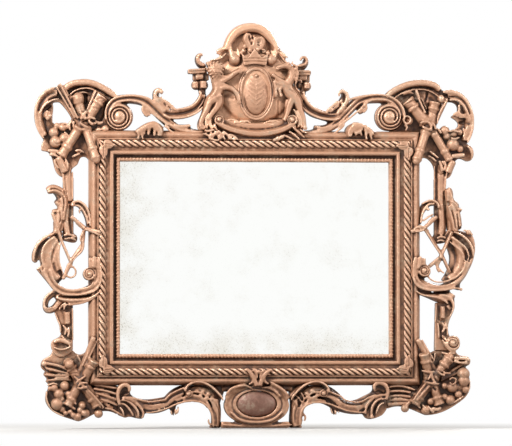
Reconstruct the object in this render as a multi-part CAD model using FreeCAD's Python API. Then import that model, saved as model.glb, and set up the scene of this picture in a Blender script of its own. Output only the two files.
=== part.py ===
"""Carved and gilded wall mirror with a crested, pierced frame.

X runs to the right, Z runs up and the front faces -Y. The wall plane is Y = 0, and the
origin is the middle of the glass on that plane. Heights are measured from the wall towards
the front. The carving was drawn over a front view, so its outlines are tables of pixel
coordinates (column, row), which place() lays out between the named sizes of the frame.
"""

import FreeCAD
import Part
import math
import os

from FreeCAD import Vector

# Driving sizes of the front view, millimetres
SIGHT_WIDTH = 600.0
SIGHT_HEIGHT = 427.0
RAIL_WIDTH = 69.5
SIDE_SPREAD = 125.0
CREST_RISE = 241.0
APRON_DROP = 94.5
CARVING_PIXEL = 2.222

# Rail section, from the sight edge outwards and from the wall forwards
RAIL_EDGE_HEIGHT = 24.0
RAIL_FILLET_HEIGHT = 42.0
ROPE_SEAT_HEIGHT = 40.0
INNER_BEAD_HEIGHT = 45.0
OUTER_BAND_WIDTH = 19.0
OUTER_FILLET_WIDTH = 3.0
ROPE_WIDTH = 16.0
INNER_FLAT_WIDTH = 8.0
INNER_BEAD_WIDTH = 8.0
OUTER_BAND_SWELL = 3.0

# Sight slip, glass and back
SLIP_LIP_HEIGHT = 34.0
SLIP_HOLLOW_HEIGHT = 29.0
SLIP_LIP_WIDTH = 9.0
GLASS_THICKNESS = 4.0
GLASS_COVER = 10.0
GLASS_REBATE_CLEARANCE = 1.0
BLOCK_THICKNESS = 8.0
BLOCK_LENGTH = 34.0
BLOCK_WIDTH = 9.0
BLOCK_MARGIN = 90.0
BACKBOARD_THICKNESS = 10.0
BACKBOARD_LEDGE = 9.0
BACKBOARD_CLEARANCE = 0.5
NAIL_DIAMETER = 2.4
NAIL_HEAD_DIAMETER = 6.0
NAIL_HEAD_THICKNESS = 1.5
NAIL_LENGTH = 20.0

# Joinery of the frame
KEY_LENGTH = 34.0
KEY_WIDTH = 26.0
KEY_THICKNESS = 4.0
KEY_HEIGHT = 15.0
DOWEL_DIAMETER = 8.0
DOWEL_LENGTH = 30.0
DOWEL_HEIGHT = 9.0

# Hangers on the back of the stiles
HANGER_RISE = 120.0
STRAP_WIDTH = 16.0
STRAP_LENGTH = 58.0
STRAP_THICKNESS = 1.6
KNUCKLE_DIAMETER = 7.6
KNUCKLE_LENGTH = 14.0
KNUCKLE_STANDOFF = 0.3
RING_WIRE_DIAMETER = 4.0
RING_RUNNING_CLEARANCE = 0.05
RING_RADIUS = 16.0
SCREW_DIAMETER = 3.2
SCREW_LENGTH = 16.0
SCREW_HEAD_DIAMETER = 7.0
SCREW_HEAD_HEIGHT = 2.0
FIRST_SCREW_DROP = 26.0
SCREW_SPACING = 20.0

# Heights of the carving above the wall
CARVING_BACK = 2.0
GROUND_HEIGHT = 16.0
LEAF_HEIGHT = 26.0
SCROLL_HEIGHT = 34.0
HORN_HEIGHT = 22.0
RIM_HEIGHT = 32.0
POST_HEIGHT = 20.0
FIGURE_HEIGHT = 44.0
SHIELD_RIM_HEIGHT = 34.0
SHIELD_SWELL = 14.0
CORONET_HEIGHT = 40.0
RIBBON_HEIGHT = 48.0
TROPHY_AXIS_HEIGHT = 26.0
TROPHY_TIP_HEIGHT = 46.0
FRUIT_AXIS_HEIGHT = 24.0
BOW_AXIS_HEIGHT = 30.0
BOW_TIP_HEIGHT = 46.0
CARTOUCHE_HEIGHT = 32.0
BOSS_SWELL = 13.0
RAIL_LEAF_HEIGHT = 52.0
FIELD_CLEARANCE = 0.2
CUT_OVERRUN = 5.0

# Section shares of the carved bands
CROWN_SHARE = 0.5
SHOULDER_SHARE = 0.62
CHIP_SHARE = 0.02

# Angles at which a swelling front is drawn
SWELL_ANGLES = (0, 12, 25, 38, 51, 64, 77)

# Columns and rows of the view that the driving sizes place
COLUMNS_PX = (29.0, 87.5, 120.0, 255.0, 389.75, 419.5, 474.0)
ROWS_PX = (22.5, 131.0, 162.0, 353.75, 385.5, 428.0)

# Places of those columns and rows
HALF_SIGHT_X = SIGHT_WIDTH / 2
HALF_SIGHT_Z = SIGHT_HEIGHT / 2
HALF_FRAME_X = HALF_SIGHT_X + RAIL_WIDTH
HALF_FRAME_Z = HALF_SIGHT_Z + RAIL_WIDTH
HALF_SPREAD_X = HALF_FRAME_X + SIDE_SPREAD
COLUMN_PLACES = (-HALF_SPREAD_X, -HALF_FRAME_X, -HALF_SIGHT_X, 0,
                 HALF_SIGHT_X, HALF_FRAME_X, HALF_SPREAD_X)
ROW_PLACES = (HALF_FRAME_Z + CREST_RISE, HALF_FRAME_Z, HALF_SIGHT_Z,
              -HALF_SIGHT_Z, -HALF_FRAME_Z, -HALF_FRAME_Z - APRON_DROP)

# Section places that several pieces share
SLIP_WIDTH = (RAIL_WIDTH - OUTER_BAND_WIDTH - OUTER_FILLET_WIDTH - ROPE_WIDTH
              - INNER_FLAT_WIDTH - INNER_BEAD_WIDTH)
GLASS_BACK = BACKBOARD_THICKNESS + BLOCK_THICKNESS
GLASS_FRONT = GLASS_BACK + GLASS_THICKNESS
REBATE = GLASS_COVER + GLASS_REBATE_CLEARANCE
BACKBOARD_REBATE = REBATE + BACKBOARD_LEDGE
STILE_MIDDLE = HALF_FRAME_X - RAIL_WIDTH / 2
KNUCKLE_AXIS = KNUCKLE_DIAMETER / 2 + KNUCKLE_STANDOFF
BOARD_ROWS = 3

# Bands of the top scrolls: column, row and width
TOP_SCROLL_LEFT_PX = [(109, 110, 7.5), (112, 104, 8), (119, 100.2, 8.5), (130, 99.7, 8.7),
    (139, 100.7, 9), (147, 103.5, 9.5), (154, 109, 10), (160, 115, 9.5), (166.5, 121.3, 9),
    (175, 127.5, 9), (185, 131.5, 9), (197, 133.8, 8), (210, 134, 7)]
TOP_SCROLL_RIGHT_PX = [(400, 109, 7.5), (397, 103, 8), (390, 98.8, 8.5), (379, 98, 8.7), (369, 98.3, 9),
    (360, 100.5, 9.5), (353, 106, 10), (347, 112.5, 9.5), (340.5, 119.3, 9), (332, 126, 9),
    (322, 131, 9), (311, 133.6, 8), (299, 134, 7)]
LINK_LEFT_PX = [(162, 112, 9), (168, 113.5, 10), (176, 114.3, 10.5), (185, 113, 11), (194, 109.5, 10.5),
    (200, 103, 9), (203, 95, 7)]
LINK_RIGHT_PX = [(346, 112, 9), (340, 114.5, 10), (331, 116.5, 9.5), (322, 114.3, 10), (312, 110, 10.5),
    (306, 103.5, 9), (303.5, 95, 7)]
TENDRIL_LEFT_PX = [(173, 112, 7), (165, 110, 8.5), (159.5, 104.5, 8.5), (156.5, 98, 7.5),
    (156.5, 92.5, 6.5), (160, 90.5, 5)]
TENDRIL_RIGHT_PX = [(329, 112, 7), (337, 110, 8.5), (342, 104.5, 8.5), (345, 98, 7.5),
    (345.5, 92.5, 6.5), (342, 90.5, 5)]
DROP_LEAF_LEFT_PX = [(146.5, 104, 5), (147.5, 110, 7), (146.2, 117, 4)]
DROP_LEAF_RIGHT_PX = [(360, 101, 5), (361, 107, 7), (363, 113, 4)]
RAIL_LEAF_LEFT_PX = [(136, 134, 6), (143, 129.5, 7), (151, 127, 9), (157, 129, 10), (159, 137, 6)]
RAIL_LEAF_RIGHT_PX = [(373, 134, 6), (366, 129.5, 7), (358, 127, 9), (352, 129, 10), (350, 137, 6)]
STUB_LEFT_PX = [(170, 124, 5), (180, 127, 5), (190.5, 126.3, 4.5)]
STUB_RIGHT_PX = [(338, 123, 5), (327, 126.5, 5), (314.5, 127, 4.5)]
VOLUTE_LEFT_PX = (119.2, 117.3)
VOLUTE_RIGHT_PX = (389.8, 116.3)
VOLUTE_RADII_PX = (12.4, 3.4)
VOLUTE_WIDTHS_PX = (5.4, 3.2)
VOLUTE_DISC_PX = 14.0
VOLUTE_START_ANGLE = 140.0
VOLUTE_TURNS = 1.6

# Corner plates: outline runs, with piercings
CORNER_TL_PX = [[(56, 87), (47, 90.5), (37.5, 97), (32, 108), (31.3, 120), (35, 132), (41, 140.5)],
    [(38.5, 146)], [(38.5, 151.5)], [(45, 152.5)], [(50, 160), (52, 168), (60.8, 178)], [(72, 178)],
    [(72, 168), (76, 165), (80, 157.7), (84, 157.5), (87.5, 162)], [(87.5, 131)], [(118, 131)],
    [(117.5, 98)], [(107, 87.8), (93, 81.6), (80, 80.2), (67, 83.7), (61, 89)]]
PIERCING_TL_PX = [[(49, 103.5), (57, 103)], [(62, 108), (70, 119.5)], [(66, 125.5)], [(56, 124),
    (52, 124.5), (50.5, 114), (49, 103.5)]]
CORNER_TR_PX = [[(446, 89.3), (457, 89), (465, 96), (471.5, 110), (473, 121), (469, 137), (466, 143.5)],
    [(472, 147), (471.5, 158), (465, 160)], [(456, 159), (453, 168), (445.5, 178)], [(434, 178)],
    [(434, 168), (430, 160), (425, 157), (419.5, 162)], [(419.5, 131)], [(390, 131)], [(387.5, 97)],
    [(398, 86.3), (410, 80.8), (422, 79), (433, 81.6), (441, 89)]]
PIERCING_TR_PX = [[(446, 101), (456, 104), (457, 111)], [(450, 116)], [(457, 126), (450, 130),
    (438, 128)], [(436, 122), (441, 110), (446, 101)]]
ARCH_TL_PX = [(63, 90, 6), (68, 86.5, 6.6), (74, 84.4, 6.6), (83, 83.4, 6.6), (92, 84.6, 6.6),
    (101, 88, 6.6), (109, 92.4, 6.6), (116, 97, 6)]
ARCH_TR_PX = [(439, 89.5, 6), (433, 84.5, 6.6), (427, 82.6, 6.6), (419, 82, 6.6), (410, 83.5, 6.6),
    (402, 86.5, 6.6), (394, 91, 6.6), (388.5, 95.5, 6)]
LIP_TL_PX = [(66, 99, 2.6), (69, 94.5, 2.6), (74, 91, 2.8), (81, 89, 2.8), (88, 88.6, 2.8),
    (97, 91.2, 2.8), (105, 96, 2.6)]
LIP_TR_PX = [(441, 97, 2.6), (437, 92.5, 2.6), (431, 89.3, 2.8), (421, 87.6, 2.8), (413, 88.3, 2.8),
    (406, 90.5, 2.8), (400, 93.5, 2.6)]
HORN_TL_PX = [(55, 93.5, 9), (48, 95, 9.5), (42, 99, 10), (38, 105, 10), (36, 112, 9.5), (36.2, 120, 9),
    (38, 128, 8.5), (42, 137, 6)]
HORN_TR_PX = [(447, 94, 9), (454, 94.3, 9.5), (460, 98, 10), (464.5, 104, 10), (467.5, 112, 9.5),
    (468.5, 120, 9), (467, 129, 8.5), (464, 140, 6)]

# Trophies: sticks run from a start point to an end point with a half width, and some of them
# reach forward over the rails
TROPHY_TL_PX = {
    "guns": [((82, 122), (74.5, 96), 6.3), ((85, 121), (101.5, 97), 6.5),
    ((81, 124), (58.5, 157), 6.0)],
    "rods": [((56.5, 85.5), (78, 126), 2.6), ((84, 116), (94.5, 91), 1.6), ((56, 158), (63, 173), 3.8)],
    "rail_guns": [((83, 124), (94.5, 160), 5.3)],
    "rail_knobs": [(94.8, 160.5, 4.2)],
    "fruit": [(51, 133.5, 5), (53, 143, 6), (62, 139, 5), (60.5, 128.5, 4), (66, 127.5, 3),
    (54.5, 127, 3.3), (97.5, 131, 3.6), (104.5, 130, 4.2), (67, 99.5, 4.2), (44.5, 117, 4.2)]}
TROPHY_TR_PX = {
    "guns": [((429, 126), (407.5, 99.5), 7.2), ((429, 126), (434.5, 101), 6.0),
    ((431, 128), (449, 159.5), 4.9)],
    "rods": [((446, 97.5), (431, 130), 2.4), ((416, 89), (424.5, 114), 1.6),
    ((452, 160), (447, 172), 3.8)],
    "rail_guns": [((427, 126), (415.5, 160), 5.3)],
    "rail_knobs": [(415.3, 160.5, 4.2)],
    "fruit": [(444, 129.8, 5), (446, 135.5, 3.6), (437.5, 131, 3.2), (453, 133, 3.6),
    (459, 131.5, 3.2), (452, 144, 6.3), (462.5, 141, 4.2), (459, 148, 3.6), (409, 134, 5),
    (409, 120, 4.4), (440.5, 98, 4), (458.5, 113.5, 4)]}
TROPHY_BL_PX = {
    "guns": [((80, 382), (66.5, 363), 6.3), ((79, 380), (97.5, 406), 6.6), ((80, 380), (66, 406), 5.8)],
    "rods": [((83, 384), (103, 408), 1.8)],
    "rail_guns": [((81, 382), (93, 360), 5.6)],
    "rail_rods": [((77, 376), (92.5, 337), 2.6)],
    "fruit": [(52, 388, 4), (57, 394, 5.4), (63, 386, 5), (67, 394, 3.6), (55, 404, 6.4),
    (60.5, 409, 3.4), (81, 405, 4), (80, 412, 4), (85, 413, 4), (76, 417, 4.2), (67, 414, 3.4),
    (66.5, 362.5, 5), (98, 413.5, 4.5)]}
TROPHY_BR_PX = {
    "guns": [((430, 381), (448, 358), 6.2), ((430, 380), (413.5, 404), 6.6),
    ((430, 379), (438.5, 405), 5.8)],
    "rods": [((428, 383), (406, 406), 1.8)],
    "rail_guns": [((429, 382), (422, 353), 5.6)],
    "rail_rods": [((434, 371), (416, 339), 2.6)],
    "fruit": [(462, 374, 6.6), (462, 381, 6.6), (458, 387.5, 3.4), (464, 389.5, 4.2), (451, 387, 5.8),
    (443.5, 386, 3.4), (449, 400, 5), (457, 394.5, 4), (443.5, 397, 3.4), (430, 401.5, 4),
    (425, 410, 5), (448, 357, 5), (405, 408.5, 4.2)]}

GUN_SHARES = [(0, 0.8), (0.12, 0.8), (0.15, 1), (0.21, 1), (0.24, 0.84), (0.66, 0.78), (0.69, 0.96),
    (0.75, 0.96), (0.78, 0.8), (0.92, 0.86), (0.96, 1), (1, 0.9)]
BALL_SHARES = [(0.03, 0.34), (0.15, 0.72), (0.35, 0.95), (0.5, 1), (0.65, 0.95), (0.85, 0.72), (0.97, 0.34)]
ROD_SHARES = [(0, 0.9), (0.06, 1), (0.94, 1), (1, 0.9)]

# Lower corner plates
CORNER_BL_PX = [[(50, 350), (48, 355), (40, 360), (38.2, 364), (43, 371)], [(40.5, 374.5)], [(45, 379)],
    [(43, 381.5)], [(46, 384.5), (43, 396), (47.5, 408.5), (60, 416), (77, 421.5)], [(88, 417),
    (101, 411.5), (110, 411.5), (118, 415)], [(118, 385.5)], [(87.5, 385.5)], [(87.5, 349), (80, 354),
    (72, 350)]]
CORNER_BR_PX = [[(455, 350), (460, 355), (468, 357), (469.5, 362), (464.5, 366)], [(469, 381),
    (467, 394), (458, 403), (440, 413), (425, 415.5)], [(415, 411), (403, 407), (388, 409.5)],
    [(388, 385.5)], [(419.5, 385.5)], [(419.5, 344), (427, 352), (434, 350)]]
FAN_BL_PX = [[(70, 379, 3), (57, 372, 4.5), (42, 364, 5.5)], [(70, 381, 3), (57, 377, 4),
    (44, 372.5, 4.5)], [(90, 388, 3), (103, 387.5, 4), (117, 388, 4.6)], [(90, 391, 3), (103, 392.5, 4),
    (117, 394, 4.6)], [(90, 394, 3), (103, 397.5, 4), (116, 401, 4.8)], [(90, 397, 3), (102, 402.5, 4),
    (113, 408.5, 5)]]
FAN_BR_PX = [[(440, 378, 3), (452, 370, 4.5), (467, 360.5, 5.5)], [(440, 381, 3), (452, 375, 4),
    (464.5, 369, 4.5)], [(419, 386, 3), (404, 386.5, 4), (389.5, 387, 4.6)], [(419, 389, 3),
    (404, 391, 4), (389.5, 393, 4.6)], [(419, 392, 3), (405, 396, 4), (390, 399, 4.8)], [(419, 395, 3),
    (406, 400, 4), (392, 405, 5)]]

# Side pieces
UPPER_POST_LEFT_PX = [[(60.8, 178), (72, 178)], [(72, 234)], [(76, 238), (75, 242), (68, 242.5),
    (60, 241)], [(60.8, 234)]]
UPPER_POST_RIGHT_PX = [[(434, 178), (445.5, 178)], [(445.5, 234)], [(447, 240), (440, 243), (433, 242),
    (431, 238)], [(434, 234)]]
LOWER_POST_LEFT_PX = [[(52, 311), (60, 303)], [(71.5, 303)], [(71.5, 350)], [(50, 350), (50, 341),
    (58, 336), (57, 324), (52, 311)]]
LOWER_POST_RIGHT_PX = [[(435, 302), (447, 302)], [(453.5, 307), (450, 317), (447.5, 330), (449, 336)],
    [(458, 338), (459, 345), (455, 350)], [(434, 350)]]
SIDE_HULL_LEFT_PX = [[(58, 229), (50, 236.5), (40, 240), (32, 247), (29, 261)], [(31.5, 263),
    (36, 251)], [(38, 267)], [(33, 269)], [(40, 277), (50, 289)], [(62, 278)], [(58, 265), (56, 256),
    (58, 242), (61, 234)]]
SIDE_HULL_RIGHT_PX = [[(448, 228), (455, 229), (463, 231), (470, 233.5), (474, 245), (472, 260),
    (465, 274), (459, 281)], [(459, 290)], [(451, 288)], [(441, 279)], [(447, 268), (449, 257),
    (446, 246), (443, 235)]]
SIDE_SCROLL_LEFT_PX = [(42.5, 264, 7), (44, 271.5, 8), (48, 279.5, 8.5), (54, 286.5, 8.5),
    (61.5, 291.5, 7.5), (70, 293, 6.5), (79, 292, 7), (87.5, 289.5, 8), (94, 284.5, 9), (97, 277, 8),
    (95.5, 269.5, 7), (90.5, 267.5, 5)]
SIDE_SCROLL_RIGHT_PX = [(466.5, 262, 7), (463, 270.5, 8), (457, 279, 8.5), (449.5, 285, 8.5),
    (441, 287, 7.5), (432, 286.3, 7.5), (424, 283.5, 8), (417, 279, 9), (414, 272, 8),
    (416.5, 265.5, 7), (421, 264.5, 5)]
SIDE_VOLUTE_LEFT_PX = (88.2, 274.3, 6.4)
SIDE_VOLUTE_RIGHT_PX = (423.8, 271, 6.2)
SIDE_BAND_LEFT_PX = [(97.5, 290.5, 4), (89, 296.5, 5.5), (80, 299.8, 6.5), (72, 300.5, 8),
    (63, 299.5, 8), (54, 296, 6)]
SIDE_BAND_RIGHT_PX = [(412.5, 287.5, 4), (420, 291.5, 5.5), (428.5, 294.5, 6.5), (437, 297, 9),
    (445, 297.5, 11), (451, 293, 9)]
SIDE_HOOK_LEFT_PX = [(56, 293, 5), (50, 294.5, 6.5), (45, 298.5, 6.5), (43, 304.5, 6),
    (44.5, 309.5, 6.5), (50, 309.5, 7), (55, 305, 7), (59.5, 301, 7)]
SIDE_HOOK_RIGHT_PX = [(445, 292, 7), (449, 297, 8), (450, 303, 8), (447, 308, 8)]
SIDE_LEAF_LEFT_PX = [(58, 231, 7), (60, 222, 8), (60.5, 213, 8.5), (60, 204, 8.5), (57.5, 196.5, 8),
    (52.5, 191, 7), (45, 191.5, 4.5)]
SIDE_LEAF_RIGHT_PX = [(450, 232, 7), (451, 222, 11), (450, 212, 12), (448, 203, 8), (447.5, 195, 7),
    (447, 187.5, 4)]
LEAF_SPURS_LEFT_PX = [[(59, 199, 4), (55.5, 201, 4), (52.5, 203.5, 3)], [(59, 209, 4), (55, 211, 4),
    (50.5, 213, 3)]]
LEAF_SPURS_RIGHT_PX = [[(449, 205, 4), (454, 206.5, 5), (460, 209, 3)], [(452, 221, 4), (456, 224, 5),
    (460, 228, 4)]]
INNER_LEAF_LEFT_PX = [(69.5, 206, 4.5), (73, 203.8, 5.5), (78, 204.8, 6.5), (82.5, 209, 7),
    (85.8, 216, 6), (87.5, 227, 5)]
INNER_LEAF_RIGHT_PX = [(437.5, 205.5, 4.5), (434, 202.5, 5.5), (429, 202.5, 6.5), (424.5, 206, 7),
    (421, 212, 6), (419, 224, 5)]
BOW_LEFT_PX = [((49.5, 213), (60, 243), 1.7), ((60, 243), (69.5, 264), 1.6),
    ((69, 217), (84, 229), 2.0), ((82.5, 231), (81, 245), 2.0), ((81, 245), (71, 259), 2.0),
    ((71, 259), (61.5, 278), 2.0)]
BOW_RIGHT_PX = [((424, 228), (441, 255), 1.9), ((441, 255), (448, 271), 1.8),
    ((451, 231), (439, 257), 1.9), ((436, 216), (423, 228), 2.0), ((439, 257), (426, 268), 2.0)]
BOW_END_LEFT_PX = [((84, 229), (100, 233), 2.0)]
BOW_END_RIGHT_PX = [((423, 228), (409.5, 231.5), 2.0)]

# Crest
CREST_BOARD_PX = [[(199, 131), (197.5, 124), (202, 113), (204, 106)], [(207.5, 98)], [(213.5, 85),
    (211, 75), (206, 62)], [(216, 58.5), (222, 55)], [(216, 53)], [(222, 47.5), (226, 43), (231, 31),
    (240, 24.5), (252, 22.5), (264, 25.5), (272, 32), (278, 43), (282, 50)], [(288, 55)], [(286, 59)],
    [(291, 63.5), (300, 64)], [(295, 76), (294, 84), (299, 96), (302.5, 106)], [(304.5, 118),
    (304, 131)]]
CREST_RIM_PX = [(226, 50, 6), (229, 40, 6.5), (235, 31.5, 6.5), (243, 27, 6.5), (252, 25.7, 6.5),
    (261, 27.5, 6.5), (269, 33, 6.5), (274, 41.5, 6.5), (277, 50, 6)]
FINIAL_LEFT_PX = {
    "curl": [(206, 65.5, 6), (200.5, 64, 7), (198, 58.5, 5.5), (200.5, 55, 4.5)],
    "shelf": ((188, 69.5), (207, 74)),
    "block": ((193, 74), (209, 80.5)),
    "bulbs": [(196, 85.5, 4.8), (203, 85.3, 5.6)],
    "stem": [(202, 88, 8), (203, 95, 7), (203.5, 100, 8)]}
FINIAL_RIGHT_PX = {
    "curl": [(298, 66.5, 6), (304, 65.5, 7), (306.5, 61, 5.5), (304.5, 58.5, 4.5)],
    "shelf": ((294.5, 70), (311.5, 74.5)),
    "block": ((294, 74.5), (310.5, 80.5)),
    "bulbs": [(306.5, 85.5, 5.6), (299, 84.5, 4.2)],
    "stem": [(304, 88, 7), (303, 95, 7), (303, 100, 8)]}
SHIELD_PX = (256, 93, 18.3, 27.5)
SHIELD_FIELD_PX = (256, 93.3, 14.3, 23)
CORONET_PX = [[(243.5, 66), (241.5, 54)], [(247.5, 58)], [(254.5, 49)], [(261.5, 58)], [(268, 54)],
    [(266, 66)], [(255, 64.5), (243.5, 66)]]
CORONET_BALLS_PX = [(241.5, 53, 2.4), (254.5, 48.5, 2.8), (268, 53, 2.4), (235, 59.5, 5.8),
    (271.5, 59.5, 5.8)]
PLUME_PX = [[(254.5, 52, 7), (249, 45, 8), (246, 38.5, 7), (248, 33.5, 4)], [(255, 52, 7), (255, 44, 7),
    (256, 37, 4)], [(255.5, 52, 7), (261, 46, 8), (263, 41, 6), (260.5, 37.5, 4)]]
LION_BANDS_PX = [[(214, 77, 12), (219, 85, 13), (217, 93, 12), (211, 100, 11)], [(212, 98, 11),
    (207.5, 107, 9), (204, 116, 7), (201, 124, 6), (205, 129, 5)], [(217, 95, 9), (218, 105, 9),
    (212.5, 113, 7), (208, 121, 6)], [(219, 84, 8), (228, 88, 7), (235, 92, 6), (238.5, 99.5, 6)],
    [(219, 77, 7), (227, 78, 7), (234, 74, 6), (240, 70.5, 5)]]
LION_HEAD_PX = (215, 70.5, 8.2)
HORSE_BANDS_PX = [[(277, 68, 4.5), (283, 66.5, 6), (290, 68, 8), (291.5, 75, 9), (287, 83, 11)],
    [(287, 82, 12), (289, 90, 12.5), (294, 97, 12), (298, 103, 11)], [(297.5, 101, 11), (300, 110, 8),
    (303, 119, 5.5), (304, 129, 5)], [(293, 99, 9), (289, 107, 8), (287, 114, 6), (284, 121, 6)],
    [(285, 83, 6), (278, 79, 5), (272, 74.5, 4.5)], [(284, 86, 6), (278, 86.5, 5), (275, 92, 4.5),
    (276.5, 97, 4)]]
RIBBON_PX = [(219, 124.5, 7), (229, 129.5, 7.5), (242, 133, 8), (256, 134.5, 8), (270, 133.3, 8),
    (283, 129.8, 7.5), (293, 124, 7)]
RIBBON_ROLLS_PX = [(218.5, 121, 4.8), (292, 120.5, 5.2)]
GROUND_LEAVES_PX = [[(222, 121, 7), (240, 125, 8), (256, 126.5, 8), (272, 125, 8), (288, 120.5, 7)]]

# Apron
APRON_LEFT_PX = [[(118, 385.5), (131, 385.5)], [(131, 394), (140, 398.7), (152, 399), (165, 397)],
    [(170, 391.5), (181, 385.5)], [(224, 385.5)], [(224, 394), (221, 402), (221, 415), (221, 428)],
    [(209, 428)], [(212, 420), (209, 409), (198, 401), (184, 402)], [(177, 405)], [(174, 416)],
    [(170, 408.5)], [(158, 413), (145, 413)], [(143, 418.5), (134, 417.5), (126, 418)], [(118, 415)]]
APRON_RIGHT_PX = [[(388, 385.5), (373, 385.5)], [(373, 391), (366, 395.5), (356, 400), (344, 398)],
    [(339, 392.5), (328, 385.5)], [(289.5, 385.5)], [(289.5, 394), (290.5, 402), (290, 415),
    (290, 428)], [(303.5, 428)], [(300.5, 418), (303, 408), (312, 403.5), (325, 404.5)], [(331, 407.5)],
    [(335, 415.5)], [(338, 411)], [(350, 414), (364, 414)], [(367, 418.5), (376, 418.5), (384, 415)],
    [(388, 409.5)]]
APRON_BANDS_LEFT_PX = [[(129, 398, 4), (138, 402.5, 7), (148, 406.5, 11), (158, 406, 11),
    (167, 402.5, 10), (174, 397.5, 10), (183, 392, 9)], [(184, 391, 4.5), (187.5, 384.8, 4.5),
    (194, 382.4, 4.5), (202, 382.8, 4.5), (209.5, 386, 4.5), (216, 391, 4.5), (222, 398, 4.5)],
    [(216, 399, 8), (216, 409, 9), (216.3, 418, 9), (215, 426, 8)], [(183, 400, 4), (194, 398.5, 4),
    (203, 401, 4), (209, 407, 4)]]
APRON_BANDS_RIGHT_PX = [[(376, 395.5, 4), (367, 402, 7), (357, 408, 11), (347, 406.5, 11),
    (339, 402, 10), (334, 397.5, 10), (328, 392, 9)], [(329, 391, 4.5), (324.5, 385, 4.5),
    (317, 382.3, 4.5), (309, 382.8, 4.5), (301.5, 386.5, 4.5), (295, 391.5, 4.5), (289.5, 398, 4.5)],
    [(295, 399, 8), (295.3, 409, 9), (295.3, 418, 9), (297, 426, 8)], [(326, 402, 4), (317, 400, 4),
    (308, 402, 4), (302, 408, 4)]]
APRON_LEAF_LEFT_PX = [(125, 398, 8), (131, 403, 9), (136, 410, 9), (138, 418, 6)]
APRON_LEAF_RIGHT_PX = [(380, 396, 8), (375, 402, 9), (371, 410, 9), (371, 418, 6)]
APRON_CURL_LEFT_PX = (124.3, 389.5, 6.6)
APRON_CURL_RIGHT_PX = (380.3, 387.5, 6.6)
CARTOUCHE_PX = (256.7, 405.5, 32.6, 20)
BOSS_PX = (256.7, 404, 20.2, 13.2)
CARTOUCHE_NECK_PX = [[(240, 385.5), (273, 385.5)], [(273, 392)], [(240, 392)]]
APRON_BAR_PX = [[(221, 421.5), (236, 422.5), (256.7, 424.5), (277, 422.5), (290, 421.5)], [(290, 428)],
    [(221, 428)]]
APRON_PALMETTE_PX = [[(256, 386, 6), (253.5, 379, 6.5), (250, 373, 6), (245.5, 369, 4)], [(259, 386, 6),
    (261.5, 379, 6.5), (265.5, 373, 6), (270.5, 369.5, 4)]]

# Dowels on the outer edges of the rails
DOWEL_ROWS_PX = (143.0, 291.0, 371.0)
DOWEL_COLUMNS_TOP_PX = (98.0, 148.0, 228.0, 280.0, 361.0, 409.0)
DOWEL_COLUMNS_BOTTOM_PX = (103.0, 124.0, 205.0, 256.0, 308.0, 381.0, 404.0)


def laid_out(value, knots_px, places):
    """Length that a column or row stands for, straight between its neighbouring knots."""
    last = len(knots_px) - 2
    index = 0
    while index < last and value > knots_px[index + 1]:
        index += 1
    share = (value - knots_px[index]) / (knots_px[index + 1] - knots_px[index])
    return places[index] + share * (places[index + 1] - places[index])


def place(column, row, height):
    """Point of the front view at a height above the wall."""
    return Vector(laid_out(column, COLUMNS_PX, COLUMN_PLACES), -height,
                  laid_out(row, ROWS_PX, ROW_PLACES))


def smooth_edge(points):
    """Straight edge through two points, or a smooth curve through more."""
    if len(points) == 2:
        return Part.LineSegment(points[0], points[1]).toShape()
    curve = Part.BSplineCurve()
    curve.interpolate(points)
    return curve.toShape()


def outline_wire(runs_px, height):
    """Closed wire of runs, each going on from the end of the one before it."""
    start = place(*runs_px[0][0], height)
    last = start
    edges = []
    for run in runs_px:
        points = [place(*point, height) for point in run]
        if points[0] != last:
            points.insert(0, last)
        edges.append(smooth_edge(points))
        last = points[-1]
    if last != start:
        edges.append(smooth_edge([last, start]))
    return Part.Wire(edges)


def slab(runs_px, back, front, piercings_px=()):
    """Flat board of an outline between two heights, with its piercings."""
    board = Part.Face(outline_wire(runs_px, back)).extrude(Vector(0, back - front, 0))
    for piercing_px in piercings_px:
        hole = Part.Face(outline_wire(piercing_px, back - CUT_OVERRUN))
        board = board.cut(hole.extrude(Vector(0, back - front - CUT_OVERRUN - CUT_OVERRUN, 0)))
    return board


def band_wire(path_px, height, width_share):
    """Outline of a band of changing width along a path, drawn in the view and then laid out."""
    middle = [Vector(column, row, 0) for column, row, width in path_px]
    spine = Part.BSplineCurve()
    spine.interpolate(middle)
    left = []
    right = []
    for point, (column, row, width) in zip(middle, path_px):
        along = spine.tangent(spine.parameter(point))[0]
        reach = width * width_share / 2
        left.append(place(column - along.y * reach, row + along.x * reach, height))
        right.append(place(column + along.y * reach, row - along.x * reach, height))
    right.reverse()
    return Part.Wire([smooth_edge(left), smooth_edge([left[-1], right[0]]), smooth_edge(right),
                      smooth_edge([right[-1], left[0]])])


def band(path_px, back, front):
    """Carved band with a flat back and a crowned front."""
    shoulder = back + (front - back) * SHOULDER_SHARE
    wires = [band_wire(path_px, back, 1), band_wire(path_px, shoulder, 1),
             band_wire(path_px, front, CROWN_SHARE)]
    return Part.makeLoft(wires, True, True)


def disc(column, row, radius_px, back, front):
    """Round board."""
    return Part.makeCylinder(radius_px * CARVING_PIXEL, front - back, place(column, row, back),
                             Vector(0, -1, 0))


def turned(start, end, radius, shares):
    """Turned piece between two points, its radii given as shares along it."""
    length = start.distanceToPoint(end)
    profile = [Vector(0, 0, 0)]
    profile += [Vector(radius * radius_share, 0, length * along_share)
                for along_share, radius_share in shares]
    profile += [Vector(0, 0, length), Vector(0, 0, 0)]
    piece = Part.Face(Part.makePolygon(profile)).revolve(Vector(0, 0, 0), Vector(0, 0, 1), 360)
    piece.Placement = FreeCAD.Placement(start, FreeCAD.Rotation(Vector(0, 0, 1), end - start))
    return piece


def ball(column, row, radius_px, height):
    """Turned ball whose axis runs from the wall to the front."""
    radius = radius_px * CARVING_PIXEL
    return turned(place(column, row, height - radius), place(column, row, height + radius), radius,
                  BALL_SHARES)


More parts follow.
